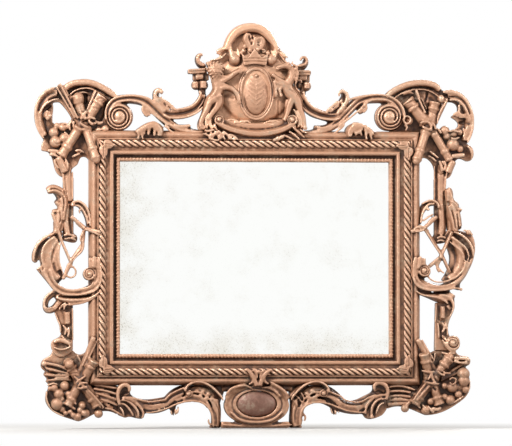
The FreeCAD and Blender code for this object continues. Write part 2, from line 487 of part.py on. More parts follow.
def volute_path(centre_px, radii_px, widths_px, start, turns, hand):
    """Spiral that winds in from the outside of a volute."""
    steps = round(turns * 10)
    path = []
    for step in range(steps + 1):
        share = step / steps
        angle = math.radians(start + hand * 360 * turns * share)
        radius = radii_px[0] + (radii_px[1] - radii_px[0]) * share
        width = widths_px[0] + (widths_px[1] - widths_px[0]) * share
        path.append((centre_px[0] + radius * math.cos(angle), centre_px[1] - radius * math.sin(angle),
                     width))
    return path


def volute(centre_px, start, hand):
    """Wound end of a scroll on its round board."""
    spiral = volute_path(centre_px, VOLUTE_RADII_PX, VOLUTE_WIDTHS_PX, start, VOLUTE_TURNS, hand)
    return [disc(*centre_px, VOLUTE_DISC_PX, CARVING_BACK, HORN_HEIGHT),
            band(spiral, CARVING_BACK, SCROLL_HEIGHT),
            ball(*centre_px, VOLUTE_RADII_PX[1], LEAF_HEIGHT)]


def oval_wire(oval_px, height, size_share, inset):
    """Oval outline at a height, its edge drawn in by an inset."""
    column, row, half_width, half_height = oval_px
    centre = place(column, row, height)
    across = Vector((half_width * CARVING_PIXEL - inset) * size_share, 0, 0)
    upward = Vector(0, 0, (half_height * CARVING_PIXEL - inset) * size_share)
    if half_width > half_height:
        return Part.Wire(Part.Ellipse(centre + across, centre + upward, centre).toShape())
    return Part.Wire(Part.Ellipse(centre + upward, centre - across, centre).toShape())


def oval_board(oval_px, back, front):
    """Oval board between two heights."""
    return Part.Face(oval_wire(oval_px, back, 1, 0)).extrude(Vector(0, back - front, 0))


def cushion(oval_px, back, edge, rise):
    """Oval cushion with upright edges and a swelling front, clear of its rim."""
    wires = [oval_wire(oval_px, back, 1, FIELD_CLEARANCE)]
    for angle in SWELL_ANGLES:
        lift = rise * math.sin(math.radians(angle))
        wires.append(oval_wire(oval_px, edge + lift, math.cos(math.radians(angle)), FIELD_CLEARANCE))
    return Part.makeLoft(wires, True, True)


def joined(pieces):
    """One solid from pieces that run into each other."""
    return pieces[0].fuse(pieces[1:]).removeSplitter() if len(pieces) > 1 else pieces[0]


def fitted(shape, neighbours):
    """Piece scribed round its neighbours, without the chips that this leaves."""
    near = [other for other in neighbours if shape.BoundBox.intersect(other.BoundBox)]
    if near:
        shape = shape.cut(near)
    least = CHIP_SHARE * shape.Volume
    return Part.makeCompound([solid for solid in shape.Solids if solid.Volume > least])


def mitre(side):
    """Wedge of the view that one side of the frame keeps."""
    outer = [(-HALF_FRAME_X, HALF_FRAME_Z), (HALF_FRAME_X, HALF_FRAME_Z), (HALF_FRAME_X, -HALF_FRAME_Z),
             (-HALF_FRAME_X, -HALF_FRAME_Z)]
    inner = [(-HALF_SIGHT_X, HALF_SIGHT_Z), (HALF_SIGHT_X, HALF_SIGHT_Z), (HALF_SIGHT_X, -HALF_SIGHT_Z),
             (-HALF_SIGHT_X, -HALF_SIGHT_Z)]
    first = ("top", "right", "bottom", "left").index(side)
    second = (first + 1) % len(outer)
    corners = [outer[first], outer[second], inner[second], inner[first], outer[first]]
    depth = RAIL_LEAF_HEIGHT + CUT_OVERRUN
    wedge = Part.Face(Part.makePolygon([Vector(x, CUT_OVERRUN, z) for x, z in corners]))
    return wedge.extrude(Vector(0, -depth - CUT_OVERRUN, 0))


def moulding(section, side):
    """Length of moulding on one side of the frame, mitred at both ends.

    The section lists its edges as points (out from the sight edge, height).
    """
    upright = side in ("left", "right")
    hand = -1 if side in ("left", "bottom") else 1
    start = HALF_SIGHT_X if upright else HALF_SIGHT_Z
    reach = HALF_FRAME_Z if upright else HALF_FRAME_X

    def seat(out, height):
        if upright:
            return Vector(hand * (start + out), -height, -reach)
        return Vector(-reach, -height, hand * (start + out))

    edges = []
    for points in section:
        seats = [seat(*point) for point in points]
        if len(seats) == 3:
            edges.append(Part.Arc(*seats).toShape())
        else:
            edges.append(smooth_edge(seats))
    run = Vector(0, 0, reach + reach) if upright else Vector(reach + reach, 0, 0)
    return Part.Face(Part.Wire(edges)).extrude(run).common(mitre(side))


def chain(corners):
    """Straight section edges through corners, back to the first."""
    return [[first, second] for first, second in zip(corners, corners[1:] + corners[:1])]


def rail(side):
    """Rail with its swelling outer band, rope seat, inner bead and the rebates behind."""
    band_inside = RAIL_WIDTH - OUTER_BAND_WIDTH
    rope_outside = band_inside - OUTER_FILLET_WIDTH
    rope_inside = rope_outside - ROPE_WIDTH
    bead_outside = rope_inside - INNER_FLAT_WIDTH
    corners = [(band_inside, RAIL_FILLET_HEIGHT), (rope_outside, RAIL_FILLET_HEIGHT),
               (rope_outside, ROPE_SEAT_HEIGHT), (bead_outside, ROPE_SEAT_HEIGHT),
               (bead_outside, INNER_BEAD_HEIGHT), (SLIP_WIDTH, INNER_BEAD_HEIGHT),
               (SLIP_WIDTH, GLASS_FRONT), (REBATE, GLASS_FRONT), (REBATE, BACKBOARD_THICKNESS),
               (BACKBOARD_REBATE, BACKBOARD_THICKNESS), (BACKBOARD_REBATE, 0), (RAIL_WIDTH, 0),
               (RAIL_WIDTH, RAIL_EDGE_HEIGHT)]
    middle = (RAIL_WIDTH - OUTER_BAND_WIDTH / 2,
              (RAIL_EDGE_HEIGHT + RAIL_FILLET_HEIGHT) / 2 + OUTER_BAND_SWELL)
    section = chain(corners)
    section[-1] = [corners[-1], middle, corners[0]]
    return moulding(section, side)


def rope(side):
    """Half-round strip that carries the rope carving."""
    outside = RAIL_WIDTH - OUTER_BAND_WIDTH - OUTER_FILLET_WIDTH
    inside = outside - ROPE_WIDTH
    crown = ((inside + outside) / 2, ROPE_SEAT_HEIGHT + ROPE_WIDTH / 2)
    return moulding([[(inside, ROPE_SEAT_HEIGHT), (outside, ROPE_SEAT_HEIGHT)],
                     [(outside, ROPE_SEAT_HEIGHT), crown, (inside, ROPE_SEAT_HEIGHT)]], side)


def slip(side):
    """Sight slip in front of the glass, with a hollow and a rounded lip."""
    lip_spring = (SLIP_HOLLOW_HEIGHT + GLASS_FRONT) / 2
    corners = [(SLIP_LIP_WIDTH, SLIP_HOLLOW_HEIGHT), (SLIP_WIDTH, SLIP_HOLLOW_HEIGHT),
               (SLIP_WIDTH, GLASS_FRONT), (0, GLASS_FRONT), (0, lip_spring)]
    section = chain(corners)
    section[-1] = [corners[-1], (SLIP_LIP_WIDTH / 2, SLIP_LIP_HEIGHT), corners[0]]
    return moulding(section, side)


def middle_box(width, height, back, front):
    """Box centred on the glass between two heights."""
    return Part.makeBox(width, front - back, height, Vector(-width / 2, -front, -height / 2))


def mirror_plate():
    """Silvered glass behind the slips."""
    return middle_box(SIGHT_WIDTH + 2 * GLASS_COVER, SIGHT_HEIGHT + 2 * GLASS_COVER, GLASS_BACK,
                      GLASS_FRONT)


def block_places():
    """Middles of the glazing blocks along the edges of the glass."""
    far_x = HALF_SIGHT_X + REBATE - BLOCK_WIDTH / 2
    far_z = HALF_SIGHT_Z + REBATE - BLOCK_WIDTH / 2
    run_x = HALF_SIGHT_X - BLOCK_MARGIN
    run_z = HALF_SIGHT_Z - BLOCK_MARGIN
    flat = [(x, hand * far_z, BLOCK_LENGTH, BLOCK_WIDTH) for hand in (-1, 1) for x in (-run_x, 0, run_x)]
    upright = [(hand * far_x, z, BLOCK_WIDTH, BLOCK_LENGTH) for hand in (-1, 1) for z in (-run_z, run_z)]
    return flat + upright


def glazing_blocks():
    """Wooden blocks glued in the rebate that hold the glass forward."""
    blocks = []
    for x, z, width, height in block_places():
        corner = Vector(x - width / 2, -GLASS_BACK, z - height / 2)
        blocks.append(Part.makeBox(width, BLOCK_THICKNESS, height, corner))
    return blocks


def board_size():
    """Width and height of one backboard."""
    width = SIGHT_WIDTH + 2 * (BACKBOARD_REBATE - BACKBOARD_CLEARANCE)
    whole = SIGHT_HEIGHT + 2 * (BACKBOARD_REBATE - BACKBOARD_CLEARANCE)
    return width, whole / BOARD_ROWS


def backboard(row):
    """One of the boards that close the back, row 0 at the bottom."""
    width, height = board_size()
    middle = (row - (BOARD_ROWS - 1) / 2) * height
    return Part.makeBox(width, BACKBOARD_THICKNESS, height,
                        Vector(-width / 2, -BACKBOARD_THICKNESS, middle - height / 2))


def nail_places():
    """Nails at both ends of each backboard and along the outer boards."""
    width, height = board_size()
    far_x = HALF_SIGHT_X + REBATE + BACKBOARD_LEDGE / 2
    far_z = HALF_SIGHT_Z + REBATE + BACKBOARD_LEDGE / 2
    quarter = height / 4
    ends = [(hand * far_x, (row - 1) * height + step * quarter)
            for hand in (-1, 1) for row in range(BOARD_ROWS) for step in (-1, 1)]
    along = [(step * width / 5, hand * far_z) for hand in (-1, 1) for step in (-1, 0, 1)]
    return ends + along


def nail(x, z):
    """Clout nail driven from the back until its head is flush."""
    top = Vector(x, 0, z)
    shank = Part.makeCylinder(NAIL_DIAMETER / 2, NAIL_LENGTH, top, Vector(0, -1, 0))
    head = Part.makeCylinder(NAIL_HEAD_DIAMETER / 2, NAIL_HEAD_THICKNESS, top, Vector(0, -1, 0))
    return shank.fuse(head)


def mitre_key(hand_x, hand_z):
    """Loose tongue across one mitre."""
    corner = Vector(-KEY_LENGTH / 2, -KEY_THICKNESS / 2, -KEY_WIDTH / 2)
    key = Part.makeBox(KEY_LENGTH, KEY_THICKNESS, KEY_WIDTH, corner)
    middle = Vector(hand_x * STILE_MIDDLE, -KEY_HEIGHT, hand_z * (HALF_FRAME_Z - RAIL_WIDTH / 2))
    key.Placement = FreeCAD.Placement(middle, FreeCAD.Rotation(Vector(0, 1, 0), 45 * hand_x * hand_z))
    return key


def dowels():
    """Pegs that hold the carving to the outer edges of the rails."""
    half = DOWEL_LENGTH / 2
    pegs = []
    for row in DOWEL_ROWS_PX:
        level = place(COLUMNS_PX[1], row, DOWEL_HEIGHT)
        for hand in (-1, 1):
            start = Vector(hand * HALF_FRAME_X - half, level.y, level.z)
            pegs.append(Part.makeCylinder(DOWEL_DIAMETER / 2, DOWEL_LENGTH, start, Vector(1, 0, 0)))
    for hand, columns in ((1, DOWEL_COLUMNS_TOP_PX), (-1, DOWEL_COLUMNS_BOTTOM_PX)):
        for column in columns:
            level = place(column, ROWS_PX[1], DOWEL_HEIGHT)
            start = Vector(level.x, level.y, hand * HALF_FRAME_Z - half)
            pegs.append(Part.makeCylinder(DOWEL_DIAMETER / 2, DOWEL_LENGTH, start, Vector(0, 0, 1)))
    return pegs


def hanger_axis(hand):
    """Middle of the pin of one hanger."""
    return Vector(hand * STILE_MIDDLE, KNUCKLE_AXIS, HANGER_RISE)


def hanger_strap(hand):
    """Strap screwed to the stile, rolled over at the top to hold the ring."""
    axis = hanger_axis(hand)
    half = Vector(KNUCKLE_LENGTH / 2, 0, 0)
    plate = Part.makeBox(STRAP_WIDTH, STRAP_THICKNESS, STRAP_LENGTH,
                         Vector(axis.x - STRAP_WIDTH / 2, 0, axis.z - STRAP_LENGTH))
    neck = Part.makeBox(KNUCKLE_LENGTH, KNUCKLE_AXIS, KNUCKLE_DIAMETER / 2,
                        Vector(axis.x, 0, axis.z - KNUCKLE_DIAMETER / 2) - half)
    knuckle = Part.makeCylinder(KNUCKLE_DIAMETER / 2, KNUCKLE_LENGTH, axis - half, Vector(1, 0, 0))
    bore_radius = RING_WIRE_DIAMETER / 2 + RING_RUNNING_CLEARANCE
    bore = Part.makeCylinder(bore_radius, KNUCKLE_LENGTH, axis - half, Vector(1, 0, 0))
    return joined([plate, neck, knuckle]).cut(bore)


def hanger_ring(hand):
    """Wire ring whose straight bar turns in the knuckle, hanging down."""
    axis = hanger_axis(hand)
    wire = RING_WIRE_DIAMETER / 2
    across = Vector(RING_RADIUS, 0, 0)
    bar = Part.makeCylinder(wire, 2 * RING_RADIUS, axis - across, Vector(1, 0, 0))
    bow = Part.makeTorus(RING_RADIUS, wire, axis, Vector(0, 1, 0))
    above = Part.makeBox(4 * RING_RADIUS, 2 * RING_WIRE_DIAMETER, 2 * RING_RADIUS,
                         axis - Vector(2 * RING_RADIUS, RING_WIRE_DIAMETER, 0))
    corners = [Part.makeSphere(wire, axis - across), Part.makeSphere(wire, axis + across)]
    return joined([bow.cut(above), bar] + corners)


def screw_places():
    """Middles of the hanger screws on the back of the stiles."""
    drops = (FIRST_SCREW_DROP, FIRST_SCREW_DROP + SCREW_SPACING)
    return [(hanger_axis(hand).x, HANGER_RISE - drop) for hand in (-1, 1) for drop in drops]


def hanger_screw(x, z):
    """Round-headed screw through the strap into the stile."""
    shank = Part.makeCylinder(SCREW_DIAMETER / 2, SCREW_LENGTH, Vector(x, STRAP_THICKNESS, z),
                              Vector(0, -1, 0))
    head = Part.makeCone(SCREW_HEAD_DIAMETER / 2, SCREW_DIAMETER / 2, SCREW_HEAD_HEIGHT,
                         Vector(x, STRAP_THICKNESS, z), Vector(0, 1, 0))
    return shank.fuse(head)


def top_scroll(scroll_px, link_px, tendril_px, drop_px, leaf_px, stub_px, centre_px, start, hand):
    """Scroll over the top rail with its wound end, tendril and leaves."""
    pieces = volute(centre_px, start, hand)
    pieces.append(band(scroll_px, CARVING_BACK, SCROLL_HEIGHT))
    pieces.append(band(link_px, CARVING_BACK, RIM_HEIGHT))
    pieces.append(band(tendril_px, CARVING_BACK, LEAF_HEIGHT))
    pieces.append(band(drop_px, CARVING_BACK, LEAF_HEIGHT))
    pieces.append(band(leaf_px, CARVING_BACK, RAIL_LEAF_HEIGHT))
    pieces.append(band(stub_px, CARVING_BACK, LEAF_HEIGHT))
    return joined(pieces)


def upper_corner(outline_px, piercing_px, arch_px, lip_px, horn_px):
    """Pierced upper corner with its arched rim and horn."""
    return joined([slab(outline_px, CARVING_BACK, GROUND_HEIGHT, [piercing_px]),
                   band(arch_px, CARVING_BACK, SCROLL_HEIGHT), band(lip_px, CARVING_BACK, HORN_HEIGHT),
                   band(horn_px, CARVING_BACK, RIM_HEIGHT)])


def lower_corner(outline_px, fans_px):
    """Lower corner with the ribs of its shell fans."""
    return joined([slab(outline_px, CARVING_BACK, GROUND_HEIGHT)]
                  + [band(rib_px, CARVING_BACK, HORN_HEIGHT) for rib_px in fans_px])


def sticks(table_px, start_height, end_height, shares):
    """Turned pieces of a table, each between two points of the view."""
    made = []
    for start_px, end_px, half_px in table_px:
        start = place(*start_px, start_height)
        made.append(turned(start, place(*end_px, end_height), half_px * CARVING_PIXEL, shares))
    return made


def trophy(tables_px):
    """Crossed guns, rods and heaped fruit of one corner, some of them lying over the rails."""
    pieces = sticks(tables_px["guns"], TROPHY_AXIS_HEIGHT, TROPHY_AXIS_HEIGHT, GUN_SHARES)
    pieces += sticks(tables_px["rods"], TROPHY_AXIS_HEIGHT, TROPHY_AXIS_HEIGHT, ROD_SHARES)
    pieces += sticks(tables_px["rail_guns"], TROPHY_AXIS_HEIGHT, TROPHY_TIP_HEIGHT, GUN_SHARES)
    pieces += sticks(tables_px.get("rail_rods", ()), TROPHY_AXIS_HEIGHT, TROPHY_TIP_HEIGHT, ROD_SHARES)
    pieces += [ball(*knob, TROPHY_TIP_HEIGHT) for knob in tables_px.get("rail_knobs", ())]
    pieces += [ball(*fruit, FRUIT_AXIS_HEIGHT) for fruit in tables_px["fruit"]]
    return joined(pieces)


def side_post(outline_px):
    """One length of a side post."""
    return slab(outline_px, CARVING_BACK, POST_HEIGHT)


def side_scroll(hull_px, scroll_px, volute_px, band_px, hook_px):
    """Broad leaf and scroll at the middle of one side."""
    return joined([slab(hull_px, CARVING_BACK, HORN_HEIGHT), band(scroll_px, CARVING_BACK, SCROLL_HEIGHT),
                   disc(*volute_px, CARVING_BACK, SCROLL_HEIGHT), band(band_px, CARVING_BACK, RIM_HEIGHT),
                   band(hook_px, CARVING_BACK, LEAF_HEIGHT)])


def side_leaf(leaf_px, spurs_px):
    """Tall curling leaf on the outside of a post."""
    return joined([band(leaf_px, CARVING_BACK, LEAF_HEIGHT)]
                  + [band(spur_px, CARVING_BACK, HORN_HEIGHT) for spur_px in spurs_px])


def side_bow(rods_px, end_px, leaf_px):
    """Crossed rods and inner leaf between a post and its stile, with a ribbon end over the stile."""
    pieces = [band(leaf_px, CARVING_BACK, LEAF_HEIGHT)]
    pieces += sticks(rods_px, BOW_AXIS_HEIGHT, BOW_AXIS_HEIGHT, ROD_SHARES)
    pieces += [ball(*finish_px, half_px, BOW_AXIS_HEIGHT) for start_px, finish_px, half_px in rods_px]
    pieces += sticks(end_px, BOW_AXIS_HEIGHT, BOW_TIP_HEIGHT, ROD_SHARES)
    return joined(pieces)


def crest_board():
    """Backboard of the crest with its domed rim."""
    return joined([slab(CREST_BOARD_PX, CARVING_BACK, GROUND_HEIGHT),
                   band(CREST_RIM_PX, CARVING_BACK, RIM_HEIGHT)])


def shelf(corners_px, back, front):
    """Square-edged board between two corners of the view."""
    (left, top), (right, bottom) = corners_px
    return slab([[(left, top), (right, top)], [(right, bottom)], [(left, bottom)]], back, front)


def finial(tables_px):
    """Curled finial beside the crest, on its shelf, block and bulbs."""
    pieces = [band(tables_px["curl"], CARVING_BACK, LEAF_HEIGHT),
              shelf(tables_px["shelf"], CARVING_BACK, LEAF_HEIGHT),
              shelf(tables_px["block"], CARVING_BACK, HORN_HEIGHT),
              band(tables_px["stem"], CARVING_BACK, HORN_HEIGHT)]
    pieces += [ball(*bulb, GROUND_HEIGHT) for bulb in tables_px["bulbs"]]
    return joined(pieces)


def shield_rim():
    """Oval rim of the shield."""
    rim = oval_board(SHIELD_PX, GROUND_HEIGHT, SHIELD_RIM_HEIGHT)
    return rim.cut(oval_board(SHIELD_FIELD_PX, GROUND_HEIGHT - CUT_OVERRUN,
                              SHIELD_RIM_HEIGHT + CUT_OVERRUN))


def shield_field():
    """Swelling plain field inside the shield's rim."""
    return cushion(SHIELD_FIELD_PX, GROUND_HEIGHT, HORN_HEIGHT, SHIELD_SWELL)


def coronet():
    """Open coronet with a plume of leaves."""
    pieces = [slab(CORONET_PX, GROUND_HEIGHT, CORONET_HEIGHT)]
    pieces += [ball(*knob, LEAF_HEIGHT) for knob in CORONET_BALLS_PX]
    pieces += [band(leaf_px, GROUND_HEIGHT, RIM_HEIGHT) for leaf_px in PLUME_PX]
    return joined(pieces)


def lion():
    """Lion on the left of the shield."""
    pieces = [band(limb_px, GROUND_HEIGHT, FIGURE_HEIGHT) for limb_px in LION_BANDS_PX]
    return joined(pieces + [ball(*LION_HEAD_PX, SCROLL_HEIGHT)])


def horse():
    """Plain horse on the right of the shield."""
    return joined([band(limb_px, GROUND_HEIGHT, FIGURE_HEIGHT) for limb_px in HORSE_BANDS_PX])


def crest_ribbon():
    """Bare ribbon under the shield, with rolled ends and ground leaves."""
    pieces = [band(RIBBON_PX, GROUND_HEIGHT, RIBBON_HEIGHT)]
    pieces += [disc(*roll, GROUND_HEIGHT, RIBBON_HEIGHT) for roll in RIBBON_ROLLS_PX]
    pieces += [band(leaf_px, GROUND_HEIGHT, SCROLL_HEIGHT) for leaf_px in GROUND_LEAVES_PX]
    return joined(pieces)


def apron_scroll(outline_px, bands_px, leaf_px, curl_px):
    """Half of the apron with its wave, arch and leaf."""
    pieces = [slab(outline_px, CARVING_BACK, GROUND_HEIGHT)]
    pieces += [band(path_px, CARVING_BACK, RIM_HEIGHT) for path_px in bands_px]
    pieces.append(band(leaf_px, CARVING_BACK, LEAF_HEIGHT))
    pieces.append(disc(*curl_px, CARVING_BACK, LEAF_HEIGHT))
    return joined(pieces)


def cartouche_frame():
    """Oval frame in the middle of the apron, with the bar below it."""
    frame = joined([oval_board(CARTOUCHE_PX, CARVING_BACK, CARTOUCHE_HEIGHT),
                    slab(CARTOUCHE_NECK_PX, CARVING_BACK, HORN_HEIGHT),
                    slab(APRON_BAR_PX, CARVING_BACK, LEAF_HEIGHT)])
    return frame.cut(oval_board(BOSS_PX, CARVING_BACK - CUT_OVERRUN, CARTOUCHE_HEIGHT + CUT_OVERRUN))


def cartouche_boss():
    """Plain swelling boss inside the cartouche."""
    return cushion(BOSS_PX, CARVING_BACK, LEAF_HEIGHT, BOSS_SWELL)


def palmette():
    """Pair of leaves over the bottom rail."""
    return joined([band(leaf_px, RAIL_EDGE_HEIGHT, RAIL_LEAF_HEIGHT) for leaf_px in APRON_PALMETTE_PX])


def frame_pieces():
    """Rails, ropes and slips, bored for their keys, dowels, nails and screws."""
    pegs = dowels()
    keys = [mitre_key(hand_x, hand_z) for hand_x in (-1, 1) for hand_z in (-1, 1)]
    nails = [nail(*spot) for spot in nail_places()]
    screws = [hanger_screw(*spot) for spot in screw_places()]
    nodes = {}
    names = {"top": "rail_top", "bottom": "rail_bottom", "left": "stile_left", "right": "stile_right"}
    for side, name in names.items():
        nodes[name] = fitted(rail(side), pegs + keys + nails + screws)
        nodes["rope_" + side] = rope(side)
        nodes["slip_" + side] = slip(side)
    nodes["mirror_plate"] = mirror_plate()
    nodes["glazing_blocks"] = Part.makeCompound(glazing_blocks())
    for row, name in enumerate(("lower", "middle", "upper")):
        nodes["backboard_" + name] = fitted(backboard(row), nails)
    nodes["backboard_nails"] = Part.makeCompound(nails)
    nodes["mitre_keys"] = Part.makeCompound(keys)
    nodes["frame_dowels"] = Part.makeCompound(pegs)
    for name, hand in (("left", -1), ("right", 1)):
        nodes["hanger_strap_" + name] = fitted(hanger_strap(hand), screws)
        nodes["hanger_ring_" + name] = hanger_ring(hand)
    nodes["hanger_screws"] = Part.makeCompound(screws)
    return nodes


def carving_pieces():
    """Carved pieces in the order in which each is scribed to those before it."""
    return {
        "crest_board": crest_board(),
        "top_scroll_left": top_scroll(TOP_SCROLL_LEFT_PX, LINK_LEFT_PX, TENDRIL_LEFT_PX, DROP_LEAF_LEFT_PX,
                                      RAIL_LEAF_LEFT_PX, STUB_LEFT_PX, VOLUTE_LEFT_PX,
                                      VOLUTE_START_ANGLE, 1),
        "top_scroll_right": top_scroll(TOP_SCROLL_RIGHT_PX, LINK_RIGHT_PX, TENDRIL_RIGHT_PX,
                                       DROP_LEAF_RIGHT_PX, RAIL_LEAF_RIGHT_PX, STUB_RIGHT_PX,
                                       VOLUTE_RIGHT_PX, 180 - VOLUTE_START_ANGLE, -1),
        "corner_top_left": upper_corner(CORNER_TL_PX, PIERCING_TL_PX, ARCH_TL_PX, LIP_TL_PX, HORN_TL_PX),
        "corner_top_right": upper_corner(CORNER_TR_PX, PIERCING_TR_PX, ARCH_TR_PX, LIP_TR_PX, HORN_TR_PX),
        "corner_bottom_left": lower_corner(CORNER_BL_PX, FAN_BL_PX),
        "corner_bottom_right": lower_corner(CORNER_BR_PX, FAN_BR_PX),
        "trophy_top_left": trophy(TROPHY_TL_PX),
        "trophy_top_right": trophy(TROPHY_TR_PX),
        "trophy_bottom_left": trophy(TROPHY_BL_PX),
        "trophy_bottom_right": trophy(TROPHY_BR_PX),
        "upper_post_left": side_post(UPPER_POST_LEFT_PX),
        "upper_post_right": side_post(UPPER_POST_RIGHT_PX),
        "lower_post_left": side_post(LOWER_POST_LEFT_PX),
        "lower_post_right": side_post(LOWER_POST_RIGHT_PX),
        "side_scroll_left": side_scroll(SIDE_HULL_LEFT_PX, SIDE_SCROLL_LEFT_PX, SIDE_VOLUTE_LEFT_PX,
                                        SIDE_BAND_LEFT_PX, SIDE_HOOK_LEFT_PX),
        "side_scroll_right": side_scroll(SIDE_HULL_RIGHT_PX, SIDE_SCROLL_RIGHT_PX, SIDE_VOLUTE_RIGHT_PX,
                                         SIDE_BAND_RIGHT_PX, SIDE_HOOK_RIGHT_PX),
        "side_leaf_left": side_leaf(SIDE_LEAF_LEFT_PX, LEAF_SPURS_LEFT_PX),
        "side_leaf_right": side_leaf(SIDE_LEAF_RIGHT_PX, LEAF_SPURS_RIGHT_PX),
        "side_bow_left": side_bow(BOW_LEFT_PX, BOW_END_LEFT_PX, INNER_LEAF_LEFT_PX),
        "side_bow_right": side_bow(BOW_RIGHT_PX, BOW_END_RIGHT_PX, INNER_LEAF_RIGHT_PX),
        "finial_left": finial(FINIAL_LEFT_PX),
        "finial_right": finial(FINIAL_RIGHT_PX),
        "shield_field": shield_field(),
        "shield_rim": shield_rim(),
        "coronet": coronet(),
        "crest_ribbon": crest_ribbon(),
        "lion_supporter": lion(),
        "horse_supporter": horse(),
        "cartouche_boss": cartouche_boss(),
        "cartouche_frame": cartouche_frame(),
        "apron_scroll_left": apron_scroll(APRON_LEFT_PX, APRON_BANDS_LEFT_PX, APRON_LEAF_LEFT_PX,
                                          APRON_CURL_LEFT_PX),
        "apron_scroll_right": apron_scroll(APRON_RIGHT_PX, APRON_BANDS_RIGHT_PX, APRON_LEAF_RIGHT_PX,
                                           APRON_CURL_RIGHT_PX),
        "apron_palmette": palmette(),
    }


def main():
    """Builds every piece and writes one file for each."""
    os.makedirs("parts", exist_ok=True)
    nodes = frame_pieces()
    fixed = []
    for name, shape in nodes.items():
        if name.startswith(("rail", "stile", "rope", "slip")):
            fixed.append(shape)
    fixed += dowels()
    for name, shape in carving_pieces().items():
        nodes[name] = fitted(shape, fixed)
        fixed.append(nodes[name])
    for name, shape in nodes.items():
        shape.exportStep("parts/" + name + ".step")


main()
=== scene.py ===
import math

import bmesh
import bpy
import numpy as np
from mathutils import Matrix, Vector, noise


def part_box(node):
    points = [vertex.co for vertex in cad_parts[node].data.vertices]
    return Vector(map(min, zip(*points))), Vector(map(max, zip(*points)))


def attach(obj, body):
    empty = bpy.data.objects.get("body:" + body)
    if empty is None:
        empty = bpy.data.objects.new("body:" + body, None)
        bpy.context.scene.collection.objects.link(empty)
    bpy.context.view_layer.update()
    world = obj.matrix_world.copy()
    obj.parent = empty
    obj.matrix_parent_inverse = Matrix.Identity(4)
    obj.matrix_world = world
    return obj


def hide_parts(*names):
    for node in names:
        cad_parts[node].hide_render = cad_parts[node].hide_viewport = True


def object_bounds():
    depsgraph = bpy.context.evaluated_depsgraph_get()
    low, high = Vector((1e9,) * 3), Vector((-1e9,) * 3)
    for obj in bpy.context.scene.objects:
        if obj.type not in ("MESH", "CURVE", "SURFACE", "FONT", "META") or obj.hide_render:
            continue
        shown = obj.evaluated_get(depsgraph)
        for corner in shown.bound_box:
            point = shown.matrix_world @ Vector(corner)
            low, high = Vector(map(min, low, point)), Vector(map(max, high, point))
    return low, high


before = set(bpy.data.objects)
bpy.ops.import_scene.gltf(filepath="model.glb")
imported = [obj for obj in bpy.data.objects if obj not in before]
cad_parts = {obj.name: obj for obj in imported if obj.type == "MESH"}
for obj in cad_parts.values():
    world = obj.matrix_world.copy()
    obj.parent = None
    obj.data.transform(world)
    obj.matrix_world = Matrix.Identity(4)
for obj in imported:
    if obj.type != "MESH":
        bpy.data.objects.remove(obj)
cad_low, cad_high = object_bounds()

MM = 0.001
PIXEL = 2.222 * MM

# Columns and rows of the front view and the places that the frame gives them
COLUMNS_PX = (29.0, 87.5, 120.0, 255.0, 389.75, 419.5, 474.0)
ROWS_PX = (22.5, 131.0, 162.0, 353.75, 385.5, 428.0)
SIGHT_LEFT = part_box("slip_left")[1].x
SIGHT_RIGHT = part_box("slip_right")[0].x
SIGHT_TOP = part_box("slip_top")[0].z
SIGHT_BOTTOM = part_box("slip_bottom")[1].z
FRAME_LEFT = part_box("stile_left")[0].x
FRAME_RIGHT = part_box("stile_right")[1].x
FRAME_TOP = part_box("rail_top")[1].z
FRAME_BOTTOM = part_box("rail_bottom")[0].z
COLUMN_PLACES = (cad_low.x, FRAME_LEFT, SIGHT_LEFT, 0.0, SIGHT_RIGHT, FRAME_RIGHT, cad_high.x)
ROW_PLACES = (cad_high.z, FRAME_TOP, SIGHT_TOP, SIGHT_BOTTOM, FRAME_BOTTOM, cad_low.z)

# Carving: grain of the finished mesh, its strokes and cuts, and how its relief and its shelter from the
# front light are marked, from which the gilding paints shade
GRAIN = 1.6 * MM
FINE_NODES = ("lion", "horse", "coronet", "shield", "finial")
FINE_SHARE = 0.82
BROAD_NODES = ("crest_board", "apron_scroll", "corner", "side_scroll", "top_scroll", "cartouche")
BROAD_SHARE = 1.25
CRUMB_POINTS = 60
ROOT = 16.0 * MM
MERGE = 0.02 * MM
SMOOTH_ROUNDS = 5
SMOOTH_IN = 0.6
SMOOTH_OUT = -0.38
SMOOTH_LAST = 0.4
BEHIND = 0.15
FACING_GAIN = 1.6
FAR = 9.0
RELIEF_REACH = 6.0 * MM
RELIEF_ROUNDS = round((RELIEF_REACH / GRAIN) ** 2)
RELIEF_SPAN = 2.6 * MM
RELIEF_EASE = 0.7
PATH_STEPS = 6
CUT_SHARE = 0.6
# Shelter map: its grid, reach and easing; the gilding paints shade where shelter is high
OCCLUSION_CELL = 2.0 * MM
OCCLUSION_MARGIN = 12
OCCLUSION_FILL = 2
OCCLUSION_WAYS = 12
OCCLUSION_REACHES = (3.0, 5.5, 9.0, 14.0, 20.0)
OCCLUSION_ROUNDS = 2
OCCLUSION_EASE = 0.5
BED_WIDTH = 2.2
LEAF_BED = 3.0
LEAST_RADIUS = 0.4 * MM
VOLUTE_DOME = 0.35
VOLUTE_STEPS = 14
EYE_RISE = 2.5
GROOVE_WIDTH = 0.75
GROOVE_DEPTH = 1.7


def place(column, row, height=0.0):
    """Point of the front view, a height in millimetres in front of the wall."""
    x = np.interp(column, COLUMNS_PX, COLUMN_PLACES)
    z = np.interp(row, ROWS_PX, ROW_PLACES)
    return Vector((x, -height * MM, z))


def linear(red, green, blue):
    """Colour for a socket from screen values of 0 to 255."""
    share = np.array((red, green, blue)) / 255
    low = share / 12.92
    high = ((share + 0.055) / 1.055) ** 2.4
    return (*np.where(share <= 0.04045, low, high).tolist(), 1.0)


